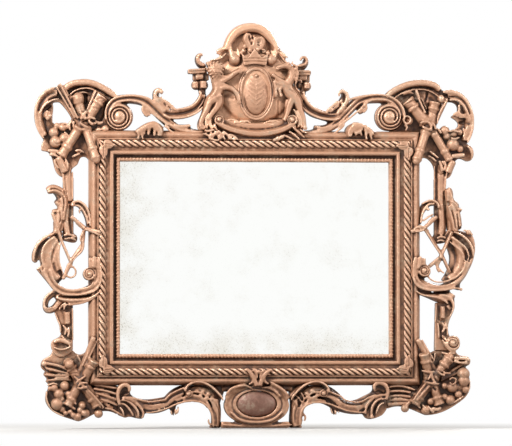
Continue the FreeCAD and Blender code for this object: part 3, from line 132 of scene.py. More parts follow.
def smooth_path(points):
    """Rows of points with more rows worked in between them on a smooth line."""
    rows = np.array(points, float)
    if len(rows) == 2:
        share = np.linspace(0, 1, PATH_STEPS)[:, None]
        return rows[0] + (rows[1] - rows[0]) * share
    before = np.vstack([2 * rows[0] - rows[1], rows, 2 * rows[-1] - rows[-2]])
    made = []
    for index in range(len(rows) - 1):
        a, b, c, d = before[index:index + 4]
        for step in range(PATH_STEPS):
            t = step / PATH_STEPS
            made.append(0.5 * (2 * b + (c - a) * t + (2 * a - 5 * b + 4 * c - d) * t * t
                               + (3 * b - a - 3 * c + d) * t ** 3))
    made.append(rows[-1])
    return np.array(made)


BACK_SPAN = (0.55, 0.8)


class Shade:
    """A socket of a material, so that shader maths reads as Python."""

    def __init__(self, tree, socket=None):
        self.tree = tree
        self.socket = socket

    def make(self, kind, settings, inputs, output=0):
        """New node with its settings, then the values or links of its sockets."""
        node = self.tree.nodes.new(kind)
        for name, value in settings.items():
            setattr(node, name, value)
        for name, value in inputs.items():
            if isinstance(value, Shade):
                self.tree.links.new(value.socket, node.inputs[name])
            else:
                node.inputs[name].default_value = value
        return Shade(self.tree, node.outputs[output])

    def math(self, operation, first, second=0.0):
        return self.make("ShaderNodeMath", {"operation": operation}, {0: first, 1: second})

    def __add__(self, other):
        return self.math("ADD", self, other)

    def __radd__(self, other):
        return self.math("ADD", other, self)

    def __sub__(self, other):
        return self.math("SUBTRACT", self, other)

    def __rsub__(self, other):
        return self.math("SUBTRACT", other, self)

    def __mul__(self, other):
        return self.math("MULTIPLY", self, other)

    def clamped(self):
        return self.make("ShaderNodeClamp", {}, {"Value": self})

    def step(self, low, high):
        """0 under low and 1 over high, with a smooth rise between."""
        return self.make("ShaderNodeMapRange", {"interpolation_type": "SMOOTHSTEP"},
                         {"Value": self, "From Min": low, "From Max": high})

    def mixed(self, first, second):
        """Colour between two, by this value."""
        return self.make("ShaderNodeMix", {"data_type": "RGBA"}, {0: self, 6: first, 7: second}, 2)

    def noise(self, place_of, scale, detail=4.0, rough=0.55):
        return self.make("ShaderNodeTexNoise", {},
                         {"Vector": place_of, "Scale": scale, "Detail": detail, "Roughness": rough})

    def attribute(self, name):
        return self.make("ShaderNodeAttribute", {"attribute_name": name}, {}, 2)

    def coordinates(self):
        return self.make("ShaderNodeTexCoord", {}, {}, 3)

    def facing_back(self):
        """1 on faces that look to the wall."""
        normal = self.make("ShaderNodeTexCoord", {}, {}, 1)
        return self.make("ShaderNodeSeparateXYZ", {}, {0: normal}, 1).step(*BACK_SPAN)


def new_finish(name):
    """Empty material with its main shader, and a start for its expressions."""
    material = bpy.data.materials.new(name)
    material.use_nodes = True
    shader = material.node_tree.nodes["Principled BSDF"]
    return material, shader, Shade(material.node_tree)


# Gilding: scales of its noise, what moves its level, and the levels between its colours
PATCH_SCALE = 26.0
BLOT_SCALE = 120.0
FINE_SCALE = 620.0
# Painted shade: the lower parts darken over this span of heights, by this much
LOW_SHADE_HEIGHTS = (0.2, 0.27)
LOW_SHADE_LEVEL = 0.24
RELIEF_LEVEL = 0.9
# Painted shade: span of shelter over which the gilding darkens, and how far it darkens
SHELTERED = (0.3, 0.9)
PAINTED_SHADE_LEVEL = 0.85
BASE_LEVEL = 0.04
NOISE_LEVEL = 0.7
# Levels between the colours: the deep and hollow colours are painted shade, and the ridge colour is rubbed
# gilding and a painted highlight
DEEP_SPAN = (-0.75, -0.2)
HOLLOW_SPAN = (-0.4, 0.12)
RIDGE_SPAN = (0.1, 0.75)
PATINA = linear(158, 141, 120)
BOLE = linear(150, 82, 56)
BARE_WOOD = (linear(96, 66, 42), linear(140, 102, 66))


def gilt(name, ridge, middle, hollow, deep, painted_shade=PAINTED_SHADE_LEVEL):
    """Worn gilding over bole and gesso, with painted shade: lighter on ridges as rubbed gilding and a
    painted highlight, darker in hollows, in sheltered places and on the lower parts as painted shade.
    """
    material, shader, start = new_finish(name)
    spot = start.coordinates()
    relief = start.attribute("relief")
    shelter = start.attribute("shelter")
    patches = start.noise(spot, PATCH_SCALE, 3.0)
    blots = start.noise(spot, BLOT_SCALE, 5.0, 0.6)
    fine = start.noise(spot, FINE_SCALE, 3.0)
    height = start.make("ShaderNodeSeparateXYZ", {}, {"Vector": spot}, "Z")
    # Painted shade: darker towards the bottom, standing in for the shade of the lower parts under light from
    # above
    low_shade = (0.0 - height).step(*LOW_SHADE_HEIGHTS) * LOW_SHADE_LEVEL
    # Painted shade: sheltered places take darker colours
    level = relief * RELIEF_LEVEL - shelter.step(*SHELTERED) * painted_shade - low_shade + BASE_LEVEL
    level = level + (blots - 0.5) * NOISE_LEVEL + (patches - 0.5) * NOISE_LEVEL
    # Painted shade in hollows; rubbed gilding and a painted highlight on ridges
    colour = level.step(*DEEP_SPAN).mixed(deep, hollow)
    colour = level.step(*HOLLOW_SPAN).mixed(colour, middle)
    colour = level.step(*RIDGE_SPAN).mixed(colour, ridge)
    patina = patches.step(0.5, 0.7) * blots.step(0.4, 0.6) * 0.6
    colour = patina.mixed(colour, PATINA)
    bole = (1.0 - patches).step(0.56, 0.72) * fine.step(0.5, 0.66) * 0.4
    colour = bole.mixed(colour, BOLE)
    back = start.facing_back()
    grain = start.make("ShaderNodeMapping", {}, {"Vector": spot, "Scale": (9.0, 9.0, 90.0)})
    wood = start.noise(grain, 6.0, 6.0).step(0.3, 0.7).mixed(*BARE_WOOD)
    colour = back.mixed(colour, wood)
    links = material.node_tree.links
    links.new(colour.socket, shader.inputs["Base Color"])
    metal = (level.step(-0.5, 0.4) * 0.2 + 0.1) * (1.0 - back)
    links.new(metal.socket, shader.inputs["Metallic"])
    rough = (0.48 - level.step(-0.4, 0.8) * 0.18 + (fine - 0.5) * 0.2 + back * 0.25).clamped()
    links.new(rough.socket, shader.inputs["Roughness"])
    bump = start.make("ShaderNodeBump", {}, {"Strength": 0.7, "Distance": 0.0024,
                                             "Height": blots * 0.7 + fine * 0.3})
    links.new(bump.socket, shader.inputs["Normal"])
    return material


def mirror_silver():
    """Old silvered glass, clouded along its left and bottom edges."""
    material, shader, start = new_finish("old_mirror_silver")
    spot = start.coordinates()
    x = start.make("ShaderNodeSeparateXYZ", {}, {0: spot}, 0)
    z = start.make("ShaderNodeSeparateXYZ", {}, {0: spot}, 2)
    clouds = start.noise(spot, 18.0, 6.0, 0.62)
    specks = start.noise(spot, 260.0, 4.0, 0.6)
    left = 1.0 - (x - SIGHT_LEFT).step(0.0, 0.09)
    low = 1.0 - (z - SIGHT_BOTTOM).step(0.0, 0.07)
    edge = start.math("MAXIMUM", left, low)
    worn = (edge * 0.8 + clouds.step(0.45, 0.75) * 0.35) * clouds.step(0.3, 0.6)
    spotted = specks.step(0.52, 0.7) * worn
    colour = worn.mixed(linear(252, 253, 251), linear(240, 238, 231))
    colour = (spotted * 0.8).mixed(colour, linear(196, 192, 180))
    links = material.node_tree.links
    links.new(colour.socket, shader.inputs["Base Color"])
    links.new((worn * 0.1 + spotted * 0.2 + 0.05).socket, shader.inputs["Roughness"])
    shader.inputs["Metallic"].default_value = 1.0
    bump = start.make("ShaderNodeBump", {}, {"Strength": 0.12, "Distance": 0.0004,
                                             "Height": clouds * 0.6 + spotted * 0.4})
    links.new(bump.socket, shader.inputs["Normal"])
    return material


def pine_back():
    """Plain sawn pine, darkened with age."""
    material, shader, start = new_finish("old_pine")
    spot = start.coordinates()
    grain = start.make("ShaderNodeMapping", {}, {"Vector": spot, "Scale": (3.0, 40.0, 55.0)})
    rings = start.noise(grain, 2.2, 6.0, 0.6)
    stain = start.noise(spot, 7.0, 4.0)
    colour = rings.step(0.3, 0.7).mixed(linear(118, 82, 50), linear(170, 128, 84))
    colour = (stain.step(0.45, 0.75) * 0.5).mixed(colour, linear(84, 60, 42))
    links = material.node_tree.links
    links.new(colour.socket, shader.inputs["Base Color"])
    links.new((0.62 + rings * 0.2).socket, shader.inputs["Roughness"])
    bump = start.make("ShaderNodeBump", {}, {"Strength": 0.4, "Distance": 0.001, "Height": rings})
    links.new(bump.socket, shader.inputs["Normal"])
    return material


def old_metal(name, bright, dull, rough):
    """Old brass, iron or steel with a dull skin and rubbed places."""
    material, shader, start = new_finish(name)
    spot = start.coordinates()
    skin = start.noise(spot, 300.0, 5.0, 0.6)
    colour = skin.step(0.35, 0.68).mixed(bright, dull)
    links = material.node_tree.links
    links.new(colour.socket, shader.inputs["Base Color"])
    links.new((skin * 0.3 + rough).socket, shader.inputs["Roughness"])
    shader.inputs["Metallic"].default_value = 0.9
    bump = start.make("ShaderNodeBump", {}, {"Strength": 0.2, "Distance": 0.0004, "Height": skin})
    links.new(bump.socket, shader.inputs["Normal"])
    return material


GILT = gilt("worn_gilding", linear(230, 187, 156), linear(196, 149, 119), linear(140, 97, 69),
            linear(74, 47, 33))
# Lighter copy of the gilding with little painted shade, for the crest board: painted light that offsets the
# shadow the supporters cast on its field
GILT_PAINTED_LIGHT = gilt("painted_light_gilding", linear(240, 196, 162), linear(222, 172, 138), linear(180, 131, 99),
                  linear(110, 72, 50), 0.2)
# Darker copy of the gilding for the boss: painted shade of a dome that mostly faces down
GILT_BOSS_SHADED = gilt("shaded_boss_gilding", linear(172, 130, 112), linear(138, 99, 83), linear(104, 70, 56),
                 linear(64, 42, 33))
SILVER = mirror_silver()
PINE = pine_back()
BRASS = old_metal("aged_brass", linear(196, 160, 90), linear(120, 92, 52), 0.25)
IRON = old_metal("rusted_iron", linear(96, 84, 76), linear(92, 56, 38), 0.5)
STEEL = old_metal("dull_steel", linear(150, 148, 144), linear(104, 98, 92), 0.35)


def mesh_arrays(mesh):
    """Points and edges of a mesh as arrays."""
    points = np.empty(len(mesh.vertices) * 3)
    mesh.vertices.foreach_get("co", points)
    edges = np.empty(len(mesh.edges) * 2, int)
    mesh.edges.foreach_get("vertices", edges)
    return points.reshape(-1, 3), edges.reshape(-1, 2)


def eased(points, edges, share):
    """Points moved a share of the way to the middle of their neighbours."""
    count = np.bincount(edges.ravel(), minlength=len(points))[:, None]
    total = np.empty_like(points)
    for axis in range(points.shape[1]):
        total[:, axis] = (np.bincount(edges[:, 0], points[edges[:, 1], axis], len(points))
                          + np.bincount(edges[:, 1], points[edges[:, 0], axis], len(points)))
    return points + (total / np.maximum(count, 1) - points) * share


def set_points(mesh, points):
    """Moves the points of a mesh."""
    mesh.vertices.foreach_set("co", points.ravel())
    mesh.update()


def normals_of(mesh):
    """Normals at the points of a mesh as an array."""
    made = np.empty(len(mesh.vertices) * 3)
    mesh.vertex_normals.foreach_get("vector", made)
    return made.reshape(-1, 3)


def part_labels(count, edges):
    """For each point, the first point of the separate part that it belongs to."""
    label = np.arange(count)
    while True:
        low = np.minimum(label[edges[:, 0]], label[edges[:, 1]])
        spread = label.copy()
        np.minimum.at(spread, edges[:, 0], low)
        np.minimum.at(spread, edges[:, 1], low)
        spread = spread[spread]
        if np.array_equal(spread, label):
            return label
        label = spread


def root_strokes(mesh):
    """Takes out crumbs and closed-in hollows, and takes loose strokes down into the wood behind them."""
    points, edges = mesh_arrays(mesh)
    label = part_labels(len(points), edges)
    mesh.calc_loop_triangles()
    corners = np.empty(len(mesh.loop_triangles) * 3, int)
    mesh.loop_triangles.foreach_get("vertices", corners)
    corners = corners.reshape(-1, 3)
    first, second, third = (points[corners[:, corner]] for corner in range(3))
    volume = np.einsum("ij,ij->i", first, np.cross(second, third))
    volume = np.bincount(label[corners[:, 0]], volume, len(points))
    size = np.bincount(label, minlength=len(points))
    stray = (size[label] < CRUMB_POINTS) | (volume[label] <= 0)
    behind = ~stray & (label != np.argmax(size)) & (normals_of(mesh)[:, 1] > BEHIND)
    points[behind, 1] = np.maximum(points[behind, 1], -ROOT)
    set_points(mesh, points)
    bm = bmesh.new()
    bm.from_mesh(mesh)
    bm.verts.ensure_lookup_table()
    bmesh.ops.delete(bm, geom=[bm.verts[index] for index in np.nonzero(stray)[0]], context="VERTS")
    bm.to_mesh(mesh)
    bm.free()


def mark_relief(mesh, rounds, span):
    """Keeps on each point how far it stands out of the form around it, from -1 to 1."""
    points, edges = mesh_arrays(mesh)
    soft = points
    for turn in range(rounds):
        soft = eased(soft, edges, RELIEF_EASE)
    stand = np.einsum("ij,ij->i", points - soft, normals_of(mesh)) / span
    # The gilding paints shade on low points, and rubbed gilding with a painted highlight on high ones
    layer = mesh.attributes.new("relief", "FLOAT", "POINT")
    layer.data.foreach_set("value", np.clip(stand, -1, 1).astype(np.float32))


def height_map(meshes):
    """Grid over the front that holds the height of what stands foremost in each cell, in metres."""
    extent = np.array((cad_high.x - cad_low.x, cad_high.z - cad_low.z))
    size = (extent / OCCLUSION_CELL).astype(int) + 2 * OCCLUSION_MARGIN
    heights = np.full(size, -1.0)
    for mesh in meshes:
        points = mesh_arrays(mesh)[0]
        np.maximum.at(heights, occlusion_cells(points[:, (0, 2)], size), -points[:, 1])
    for turn in range(OCCLUSION_FILL):
        around = [np.roll(heights, shift, axis) for axis in (0, 1) for shift in (-1, 1)]
        heights = np.where(heights < 0, np.max(around, axis=0), heights)
    return heights


def occlusion_cells(flat, size):
    """Row and column of the grid for points of the front view."""
    cells = ((flat - (cad_low.x, cad_low.z)) / OCCLUSION_CELL).astype(int) + OCCLUSION_MARGIN
    cells = np.clip(cells, 0, np.array(size) - 1)
    return cells[:, 0], cells[:, 1]


def mark_shelter(mesh, heights):
    """Keeps on each point how much of the light from the front is shut off by what stands over it."""
    points, edges = mesh_arrays(mesh)
    shut = np.zeros(len(points))
    for turn in range(OCCLUSION_WAYS):
        angle = turn * math.tau / OCCLUSION_WAYS
        way = np.array((math.cos(angle), math.sin(angle)))
        slope = np.zeros(len(points))
        for reach in OCCLUSION_REACHES:
            over = heights[occlusion_cells(points[:, (0, 2)] + way * reach * MM, heights.shape)] + points[:, 1]
            slope = np.maximum(slope, over / (reach * MM))
        shut += slope / np.sqrt(1 + slope ** 2) / OCCLUSION_WAYS
    for turn in range(OCCLUSION_ROUNDS):
        shut = eased(shut[:, None], edges, OCCLUSION_EASE)[:, 0]
    # The gilding paints shade from this value
    layer = mesh.attributes.new("shelter", "FLOAT", "POINT")
    layer.data.foreach_set("value", shut.astype(np.float32))


def evaluated(mesh, kind, **settings):
    """Mesh after one modifier."""
    holder = bpy.data.objects.new("bench", mesh)
    bpy.context.scene.collection.objects.link(holder)
    modifier = holder.modifiers.new(kind, kind)
    for name, value in settings.items():
        setattr(modifier, name, value)
    made = bpy.data.meshes.new_from_object(holder.evaluated_get(bpy.context.evaluated_depsgraph_get()))
    bpy.data.objects.remove(holder)
    return made


GILDED = []


def show(name, mesh, finish, nodes, slot):
    """Finished piece on the frame's body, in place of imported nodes."""
    mesh.name = name
    mesh.materials.clear()
    mesh.materials.append(finish)
    piece = bpy.data.objects.new(name, mesh)
    bpy.context.scene.collection.objects.link(piece)
    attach(piece, "frame")
    if nodes:
        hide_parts(*nodes)
    if slot.startswith("gilt"):
        GILDED.append(mesh)


def with_widths(path_px):
    """Points of a path; one that gives no width has the width of the point before it."""
    made = []
    for point in path_px:
        made.append(tuple(point) if len(point) > 2 else (*point, made[-1][2]))
    return made


def by_level(runs):
    """Pairs of path and level from a row in which a number sets the level of the paths after it."""
    level = 0.0
    for run in runs:
        if isinstance(run, list):
            yield run, level
        else:
            level = run


def ring(column, row, across, down, width, steps=24):
    """Closed path round an oval."""
    turns = [turn * math.tau / steps for turn in range(steps + 1)]
    return [(column + across * math.sin(turn), row - down * math.cos(turn), width) for turn in turns]


class Carving:
    """One carved piece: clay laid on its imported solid, then gouge cuts, then the finished mesh."""

    def __init__(self, node, packed=True):
        self.node = node
        self.packed = packed
        self.clay = bmesh.new()
        if packed:
            self.clay.from_mesh(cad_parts[node].data)
            bmesh.ops.remove_doubles(self.clay, verts=self.clay.verts, dist=MERGE)
        self.strokes = bpy.data.curves.new(node + "_strokes", "CURVE")
        self.strokes.dimensions = "3D"
        self.strokes.bevel_depth = 1.0
        self.strokes.bevel_resolution = 2
        self.strokes.use_fill_caps = True
        self.gouged = []

    def roll(self, path_px, crown, bed=0.0):
        """Rounded stroke of clay along (column, row, width), its top at a height, perhaps on a wider bed.

        A fourth value of a point is a height of its own.
        """
        path_px = with_widths(path_px)
        if bed:
            self.roll([(point[0], point[1], point[2] * BED_WIDTH) for point in path_px], crown - bed)
        rows = smooth_path([point + (crown,) * (4 - len(point)) for point in path_px])
        spline = self.strokes.splines.new("POLY")
        spline.points.add(len(rows) - 1)
        for point, (column, row, width, top) in zip(spline.points, rows):
            radius = max(width / 2 * PIXEL, LEAST_RADIUS)
            point.co = (*place(column, row, top - radius / MM), 1.0)
            point.radius = radius

    def rolls(self, *runs, bed=0.0):
        """Several strokes of clay; a number gives the height of the paths after it."""
        for path_px, crown in by_level(runs):
            self.roll(path_px, crown, bed)

    def ball(self, column, row, radius_px, crown, tall=1.0, deep=1.0):
        """Ball of clay whose front reaches a height."""
        radius = radius_px * PIXEL
        centre = place(column, row, crown - radius * deep / MM)
        shape = Matrix.Translation(centre) @ Matrix.Diagonal((1.0, deep, tall, 1.0))
        bmesh.ops.create_icosphere(self.clay, subdivisions=3, radius=radius, matrix=shape)

    def balls(self, *rows):
        """Several balls, each as (column, row, radius, height)."""
        for row in rows:
            self.ball(*row)

    def volute(self, column, row, reach_px, eye_px, turns, start, hand, crown, depth):
        """Domed scroll end: a groove winds in from its rim to a round eye."""
        self.ball(column, row, reach_px, crown, deep=VOLUTE_DOME)
        self.ball(column, row, eye_px, crown + EYE_RISE)
        steps = int(turns * VOLUTE_STEPS)
        pitch = (reach_px - eye_px) / (turns + 0.5)
        groove = []
        for step in range(steps + 1):
            share = step / steps
            radius = reach_px - pitch * 0.5 + (eye_px + pitch * 0.3 - reach_px + pitch * 0.5) * share
            angle = math.radians(start) + hand * share * turns * math.tau
            groove.append((column + radius * math.cos(angle), row + radius * math.sin(angle),
                           pitch * GROOVE_WIDTH))
        self.cut(groove, depth * GROOVE_DEPTH)

    def cut(self, path_px, depth):
        """Gouge cut along (column, row, width); a negative depth raises a bead."""
        self.gouged.append((with_widths(path_px), depth))

    def cuts(self, *runs):
        """Several gouge cuts; a number gives the depth of the paths after it."""
        for path_px, depth in by_level(runs):
            self.cut(path_px, depth)

    def carved(self, mesh, path_px, depth):
        """Points of a mesh after one gouge cut."""
        points, edges = mesh_arrays(mesh)
        facing = np.clip(-normals_of(mesh)[:, 1] * FACING_GAIN, 0, 1)
        rows = smooth_path(path_px)
        spots = np.array([place(column, row) for column, row, width in rows])[:, (0, 2)]
        reach = rows[:, 2] / 2 * PIXEL
        flat = points[:, (0, 2)]
        low = spots.min(0) - reach.max()
        high = spots.max(0) + reach.max()
        near = np.nonzero(((flat > low) & (flat < high)).all(1))[0]
        best = np.full(len(near), FAR)
        for index in range(len(spots) - 1):
            run = spots[index + 1] - spots[index]
            share = np.clip(((flat[near] - spots[index]) @ run) / max(run @ run, 1e-12), 0, 1)
            gap = np.linalg.norm(flat[near] - spots[index] - share[:, None] * run, axis=1)
            wide = reach[index] + (reach[index + 1] - reach[index]) * share
            best = np.minimum(best, gap / np.maximum(wide, 1e-6))
        bite = np.clip(1 - best ** 2, 0, 1) ** 1.5
        points[near, 1] += bite * facing[near] * depth * CUT_SHARE * MM
        return points

    def finish(self, finish=GILT, slot="giltwood"):
        """Joined, cut, smoothed and shown."""
        holder = bpy.data.objects.new("strokes", self.strokes)
        bpy.context.scene.collection.objects.link(holder)
        dressed = bpy.data.meshes.new_from_object(
            holder.evaluated_get(bpy.context.evaluated_depsgraph_get()))
        self.clay.from_mesh(dressed)
        bpy.data.objects.remove(holder)
        bpy.data.meshes.remove(dressed)
        rough = bpy.data.meshes.new(self.node + "_rough")
        self.clay.to_mesh(rough)
        self.clay.free()
        share = FINE_SHARE if self.node.startswith(FINE_NODES) else 1.0
        share = BROAD_SHARE if self.node.startswith(BROAD_NODES) else share
        mesh = evaluated(rough, "REMESH", mode="VOXEL", voxel_size=GRAIN * share, use_smooth_shade=True)
        root_strokes(mesh)
        points, edges = mesh_arrays(mesh)
        for turn in range(SMOOTH_ROUNDS):
            points = eased(points, edges, SMOOTH_IN)
            points = eased(points, edges, SMOOTH_OUT)
        set_points(mesh, points)
        for path_px, depth in self.gouged:
            set_points(mesh, self.carved(mesh, path_px, depth))
        set_points(mesh, eased(mesh_arrays(mesh)[0], edges, SMOOTH_LAST))
        mark_relief(mesh, RELIEF_ROUNDS, RELIEF_SPAN)
        show(self.node + "_carved", mesh, finish, [self.node] if self.packed else [], slot)


JOINERY = ("rail", "stile", "rope", "slip", "mirror", "glazing", "backboard", "mitre", "frame_dowels",
           "hanger")
PIECES = {name: Carving(name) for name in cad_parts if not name.startswith(JOINERY)}


def dress_top_left_scroll():
    """Top scroll on the left, with its volute and leaves."""
    scroll = PIECES["top_scroll_left"]
    scroll.rolls(37, [(104.8, 121, 2), (104.6, 114, 2.4), (106.5, 107, 2.6), (110.5, 101.8, 2.8),
        (116, 98.6), (124, 96.9), (133, 96.6), (142, 97.6), (149, 100, 2.6), (154, 104.5, 2.4),
        (159.5, 110, 2.2), (165.5, 115.5, 2)],
        36, [(112, 105.5, 2), (117, 103, 2.2), (124, 101.6, 2.4), (131, 101.4), (138, 102.8), (145, 106.5),
        (150, 111.5), (155, 116.5), (161, 121), (168, 126), (175, 130, 2.2), (184, 133.5, 2)])
    scroll.cuts(7, [(106.8, 117, 2.6), (107.5, 110, 3), (110.8, 105, 3.2), (116, 101.2), (124, 99.3, 3.4),
        (133, 99), (141, 100.4), (147.5, 103.6), (153, 108.5), (159, 114.5), (166, 120, 3.2),
        (173, 124.5, 3)])
    scroll.volute(118.6, 117.6, 13.4, 4.2, 2.1, 180, -1, 40, 8)
    scroll.rolls(35, [(143, 106, 3), (142.5, 111, 3.6), (145, 115.5, 2.8), (147.5, 117.8, 1.4)],
        [(146, 106.5, 3), (146.5, 111, 3.6), (148.5, 115, 2.6), (150, 117.5, 1.2)],
        [(149.5, 109, 2.4), (150.5, 112.5), (151.5, 115.5, 1)])
    # Tendril with its knob and the notched leaf beside it
    scroll.rolls(38, [(160.5, 94.5, 3.4), (161.3, 91.8, 4), (158, 90.8, 4.6), (155, 94, 4.4), (155, 99),
        (157, 104.5, 4.2), (160.5, 109, 3.6), (165, 112, 2.6)])
    scroll.balls((161, 92.6, 2.4, 40))
    scroll.rolls(36, [(158, 98, 2.4), (160.5, 103, 3), (164.5, 108, 2.6), (169, 111.5, 1.6)],
        [(160.5, 97.5, 2.4), (163.5, 102, 3), (168, 106.5, 2.6), (172, 110, 1.6)],
        [(163.5, 100.5, 2), (167.5, 103, 2.6), (171.5, 106, 2.2), (175, 109.5, 1.4)],
        [(172, 109, 2), (175.5, 110.5, 2.6), (178, 112.5, 1.4)])
    scroll.cuts(7, [(163.8, 104, 1.8), (165.5, 106.3)], [(168, 107.5, 1.8), (170, 109, 1.6)])
    # Shoulder that climbs to the crest, and the limb on the rail
    scroll.rolls(37, [(174, 110.2, 2), (182, 109.5, 2.4), (189, 107.8, 2.6), (195, 104), (199, 98.5),
        (201, 92, 2.4)],
        38, [(163, 116.5, 2), (172, 118.6, 2.6), (182, 118.2, 2.8), (191, 116), (199, 111.5, 2.6),
        (203, 107, 2)])
    scroll.cuts(8, [(164, 114, 3), (172, 114.6, 3.2), (180, 114.2, 3.4), (188, 112.4, 3.6), (195, 109),
        (200, 104, 3), (203, 99, 2.4)])
    scroll.rolls(36, [(170, 123.5, 2), (177, 126.5, 3), (185, 126.8, 3.4), (190.5, 126, 3)])
    scroll.cuts(
        8, [(168, 126.5, 2), (175, 130.5, 2.4), (184, 133.6, 2.6), (195, 135.2), (207, 134.8, 2.2)])
    scroll.rolls(36, [(164, 126.5, 2), (170, 131.5, 2.4), (178, 135.6, 2.6), (190, 138), (203, 138.4, 2.2),
        (212, 137, 1.6)], [(186, 131.3, 2), (195, 132.3, 2.6), (207, 131.8, 2.4)])
    # Leaf on the rail
    scroll.rolls(50, [(134.5, 133, 2), (141, 128.7, 3), (147, 125.4, 3.2), (153, 123.6, 3),
        (157.5, 125.6, 2.6), (160, 130, 2)], 51, [(146, 127, 2.4), (144, 131.5, 3), (143, 136, 2.4)],
        [(150, 126.5, 2.6), (148.5, 131, 3.2), (147.5, 136.5, 2.6)],
        [(154.5, 127, 2.6), (154, 132, 3.2), (153.5, 137, 2.6)],
        [(157.5, 129, 2.2), (158.3, 133, 2.8), (157.3, 137.5, 2)],
        [(138.5, 131.5, 2), (138, 135, 2.6), (137.3, 140.5, 2.4)],
        [(142, 130.5, 2), (141.2, 134.5, 2.6), (142, 140.5, 2)])
    scroll.cuts(8, [(145, 133, 1.8), (145.2, 137, 1.4)], [(151.4, 129.5, 1.6), (150.8, 136, 2)])


def dress_top_right_scroll():
    """Top scroll on the right, with its volute and leaves."""
    scroll = PIECES["top_scroll_right"]
    scroll.rolls(37, [(404, 121, 2), (404.5, 114, 2.4), (402.5, 107, 2.6), (398, 101, 2.8), (392, 97),
        (384, 94.9), (375, 94.6), (366, 95.6), (357, 97.2), (350.5, 99.4, 2.6), (347, 103.5, 2.4),
        (342, 109.5, 2.2), (336, 116.5, 2)],
        36, [(396, 103.5, 2), (391, 100.4, 2.2), (384, 98.6, 2.4), (377, 98.6), (370, 100.6, 2.6),
        (365, 104.5), (360, 109.5, 2.4), (354, 114.5), (348, 119.5), (341.5, 124.5), (334, 129),
        (325, 133, 2.2), (314, 135.6, 2)])
    scroll.cuts(7, [(402.2, 117, 2.6), (401, 110, 3), (397.5, 104, 3.2), (391.5, 99.2), (384, 96.8, 3.4),
        (375, 96.6), (367, 98), (359, 101.5), (353, 107), (347, 113), (340.5, 119.5, 3.2),
        (333, 124.5, 3)])
    scroll.volute(390.4, 116.4, 13.4, 4.4, 2.1, 0, 1, 40, 8)
    scroll.rolls(35, [(366.5, 104.5, 3), (366.5, 109, 3.4), (363.5, 112.5, 2.6)],
        [(363, 106.5, 2.6), (362, 110.5, 3), (359.5, 113, 2)])
    # Tendril that curls over, and the leaf beside it
    scroll.rolls(38, [(339.5, 96.6, 2), (339.2, 93.2, 3), (341.8, 91.2, 3.6), (345.5, 92, 4),
        (347.6, 95.6), (347, 100.5), (344.5, 106, 3.8), (341, 111, 3), (336.5, 114.5, 2)],
        36, [(342.5, 99, 2.4), (339.5, 103.5, 3), (335, 108.5, 2.6), (330, 112.5, 1.6)],
        [(344, 103, 2.2), (341.5, 107.5, 2.8), (337, 112, 2.2)],
        [(338.5, 100.5, 2), (334, 104.5, 2.6), (330, 109, 2), (326.5, 112, 1.4)],
        [(331, 106.5, 2), (328, 109.5, 2.2), (325.5, 113.5, 1.4)])
    scroll.cuts(7, [(340.6, 103, 1.8), (339.6, 105.3, 1.6)], [(336, 108, 1.6), (334.4, 110)])
    # Shoulder that climbs to the crest, and the limb on the rail
    scroll.rolls(37, [(328, 113, 2), (320.5, 111.2, 2.4), (313.5, 107.6, 2.6), (308, 102.5), (304.6, 96.5),
        (303.5, 91, 2.4)],
        38, [(341, 118.6, 2), (332, 119.6, 2.6), (322, 118.4, 2.8), (313, 115.2), (305.5, 110.6, 2.6),
        (302, 106, 2)])
    scroll.cuts(8, [(337, 115.6, 3), (329, 116, 3.2), (321, 114.8, 3.4), (313, 111.4, 3.6),
        (307, 106.6, 3.4), (303.5, 101, 2.6)])
    scroll.rolls(36, [(335, 123.5, 2), (328, 127, 3), (321, 128.2, 3.2), (316.4, 126.4, 2.8)])
    scroll.cuts(8, [(338, 126.5, 2), (331, 130.8, 2.4), (322, 134, 2.6), (311, 135.4), (301, 135, 2.2)])
    scroll.rolls(36, [(345, 124.6, 2), (339.5, 129.8, 2.4), (331.5, 134.6, 2.6), (320, 137.6),
        (308, 138.6, 2.2), (298, 137.6, 1.6)], [(323, 131, 2), (313, 132.4, 2.6), (303, 132, 2.4)])
    # Leaf on the rail
    scroll.rolls(50, [(374.5, 136, 2), (371.5, 131, 2.8), (366.5, 126.8, 3.2), (360, 124.2, 3),
        (353.5, 123.4, 2.6), (351, 128, 2)], 51, [(357, 127, 2.4), (355, 131.5, 3), (356, 136, 2.4)],
        [(361, 127, 2.4), (360, 131, 3.2), (361.5, 136, 2.4)],
        [(365.5, 129.5, 2.4), (365.5, 134, 3), (366.5, 140, 2.4)],
        [(369.5, 131.5, 2.2), (370.2, 135.5, 2.8), (372, 140, 2.4)])
    scroll.balls((359.5, 131.5, 2.2, 53), (356.5, 133, 2, 52))
    scroll.cuts(8, [(363.3, 128.5, 1.8), (362.6, 135)])


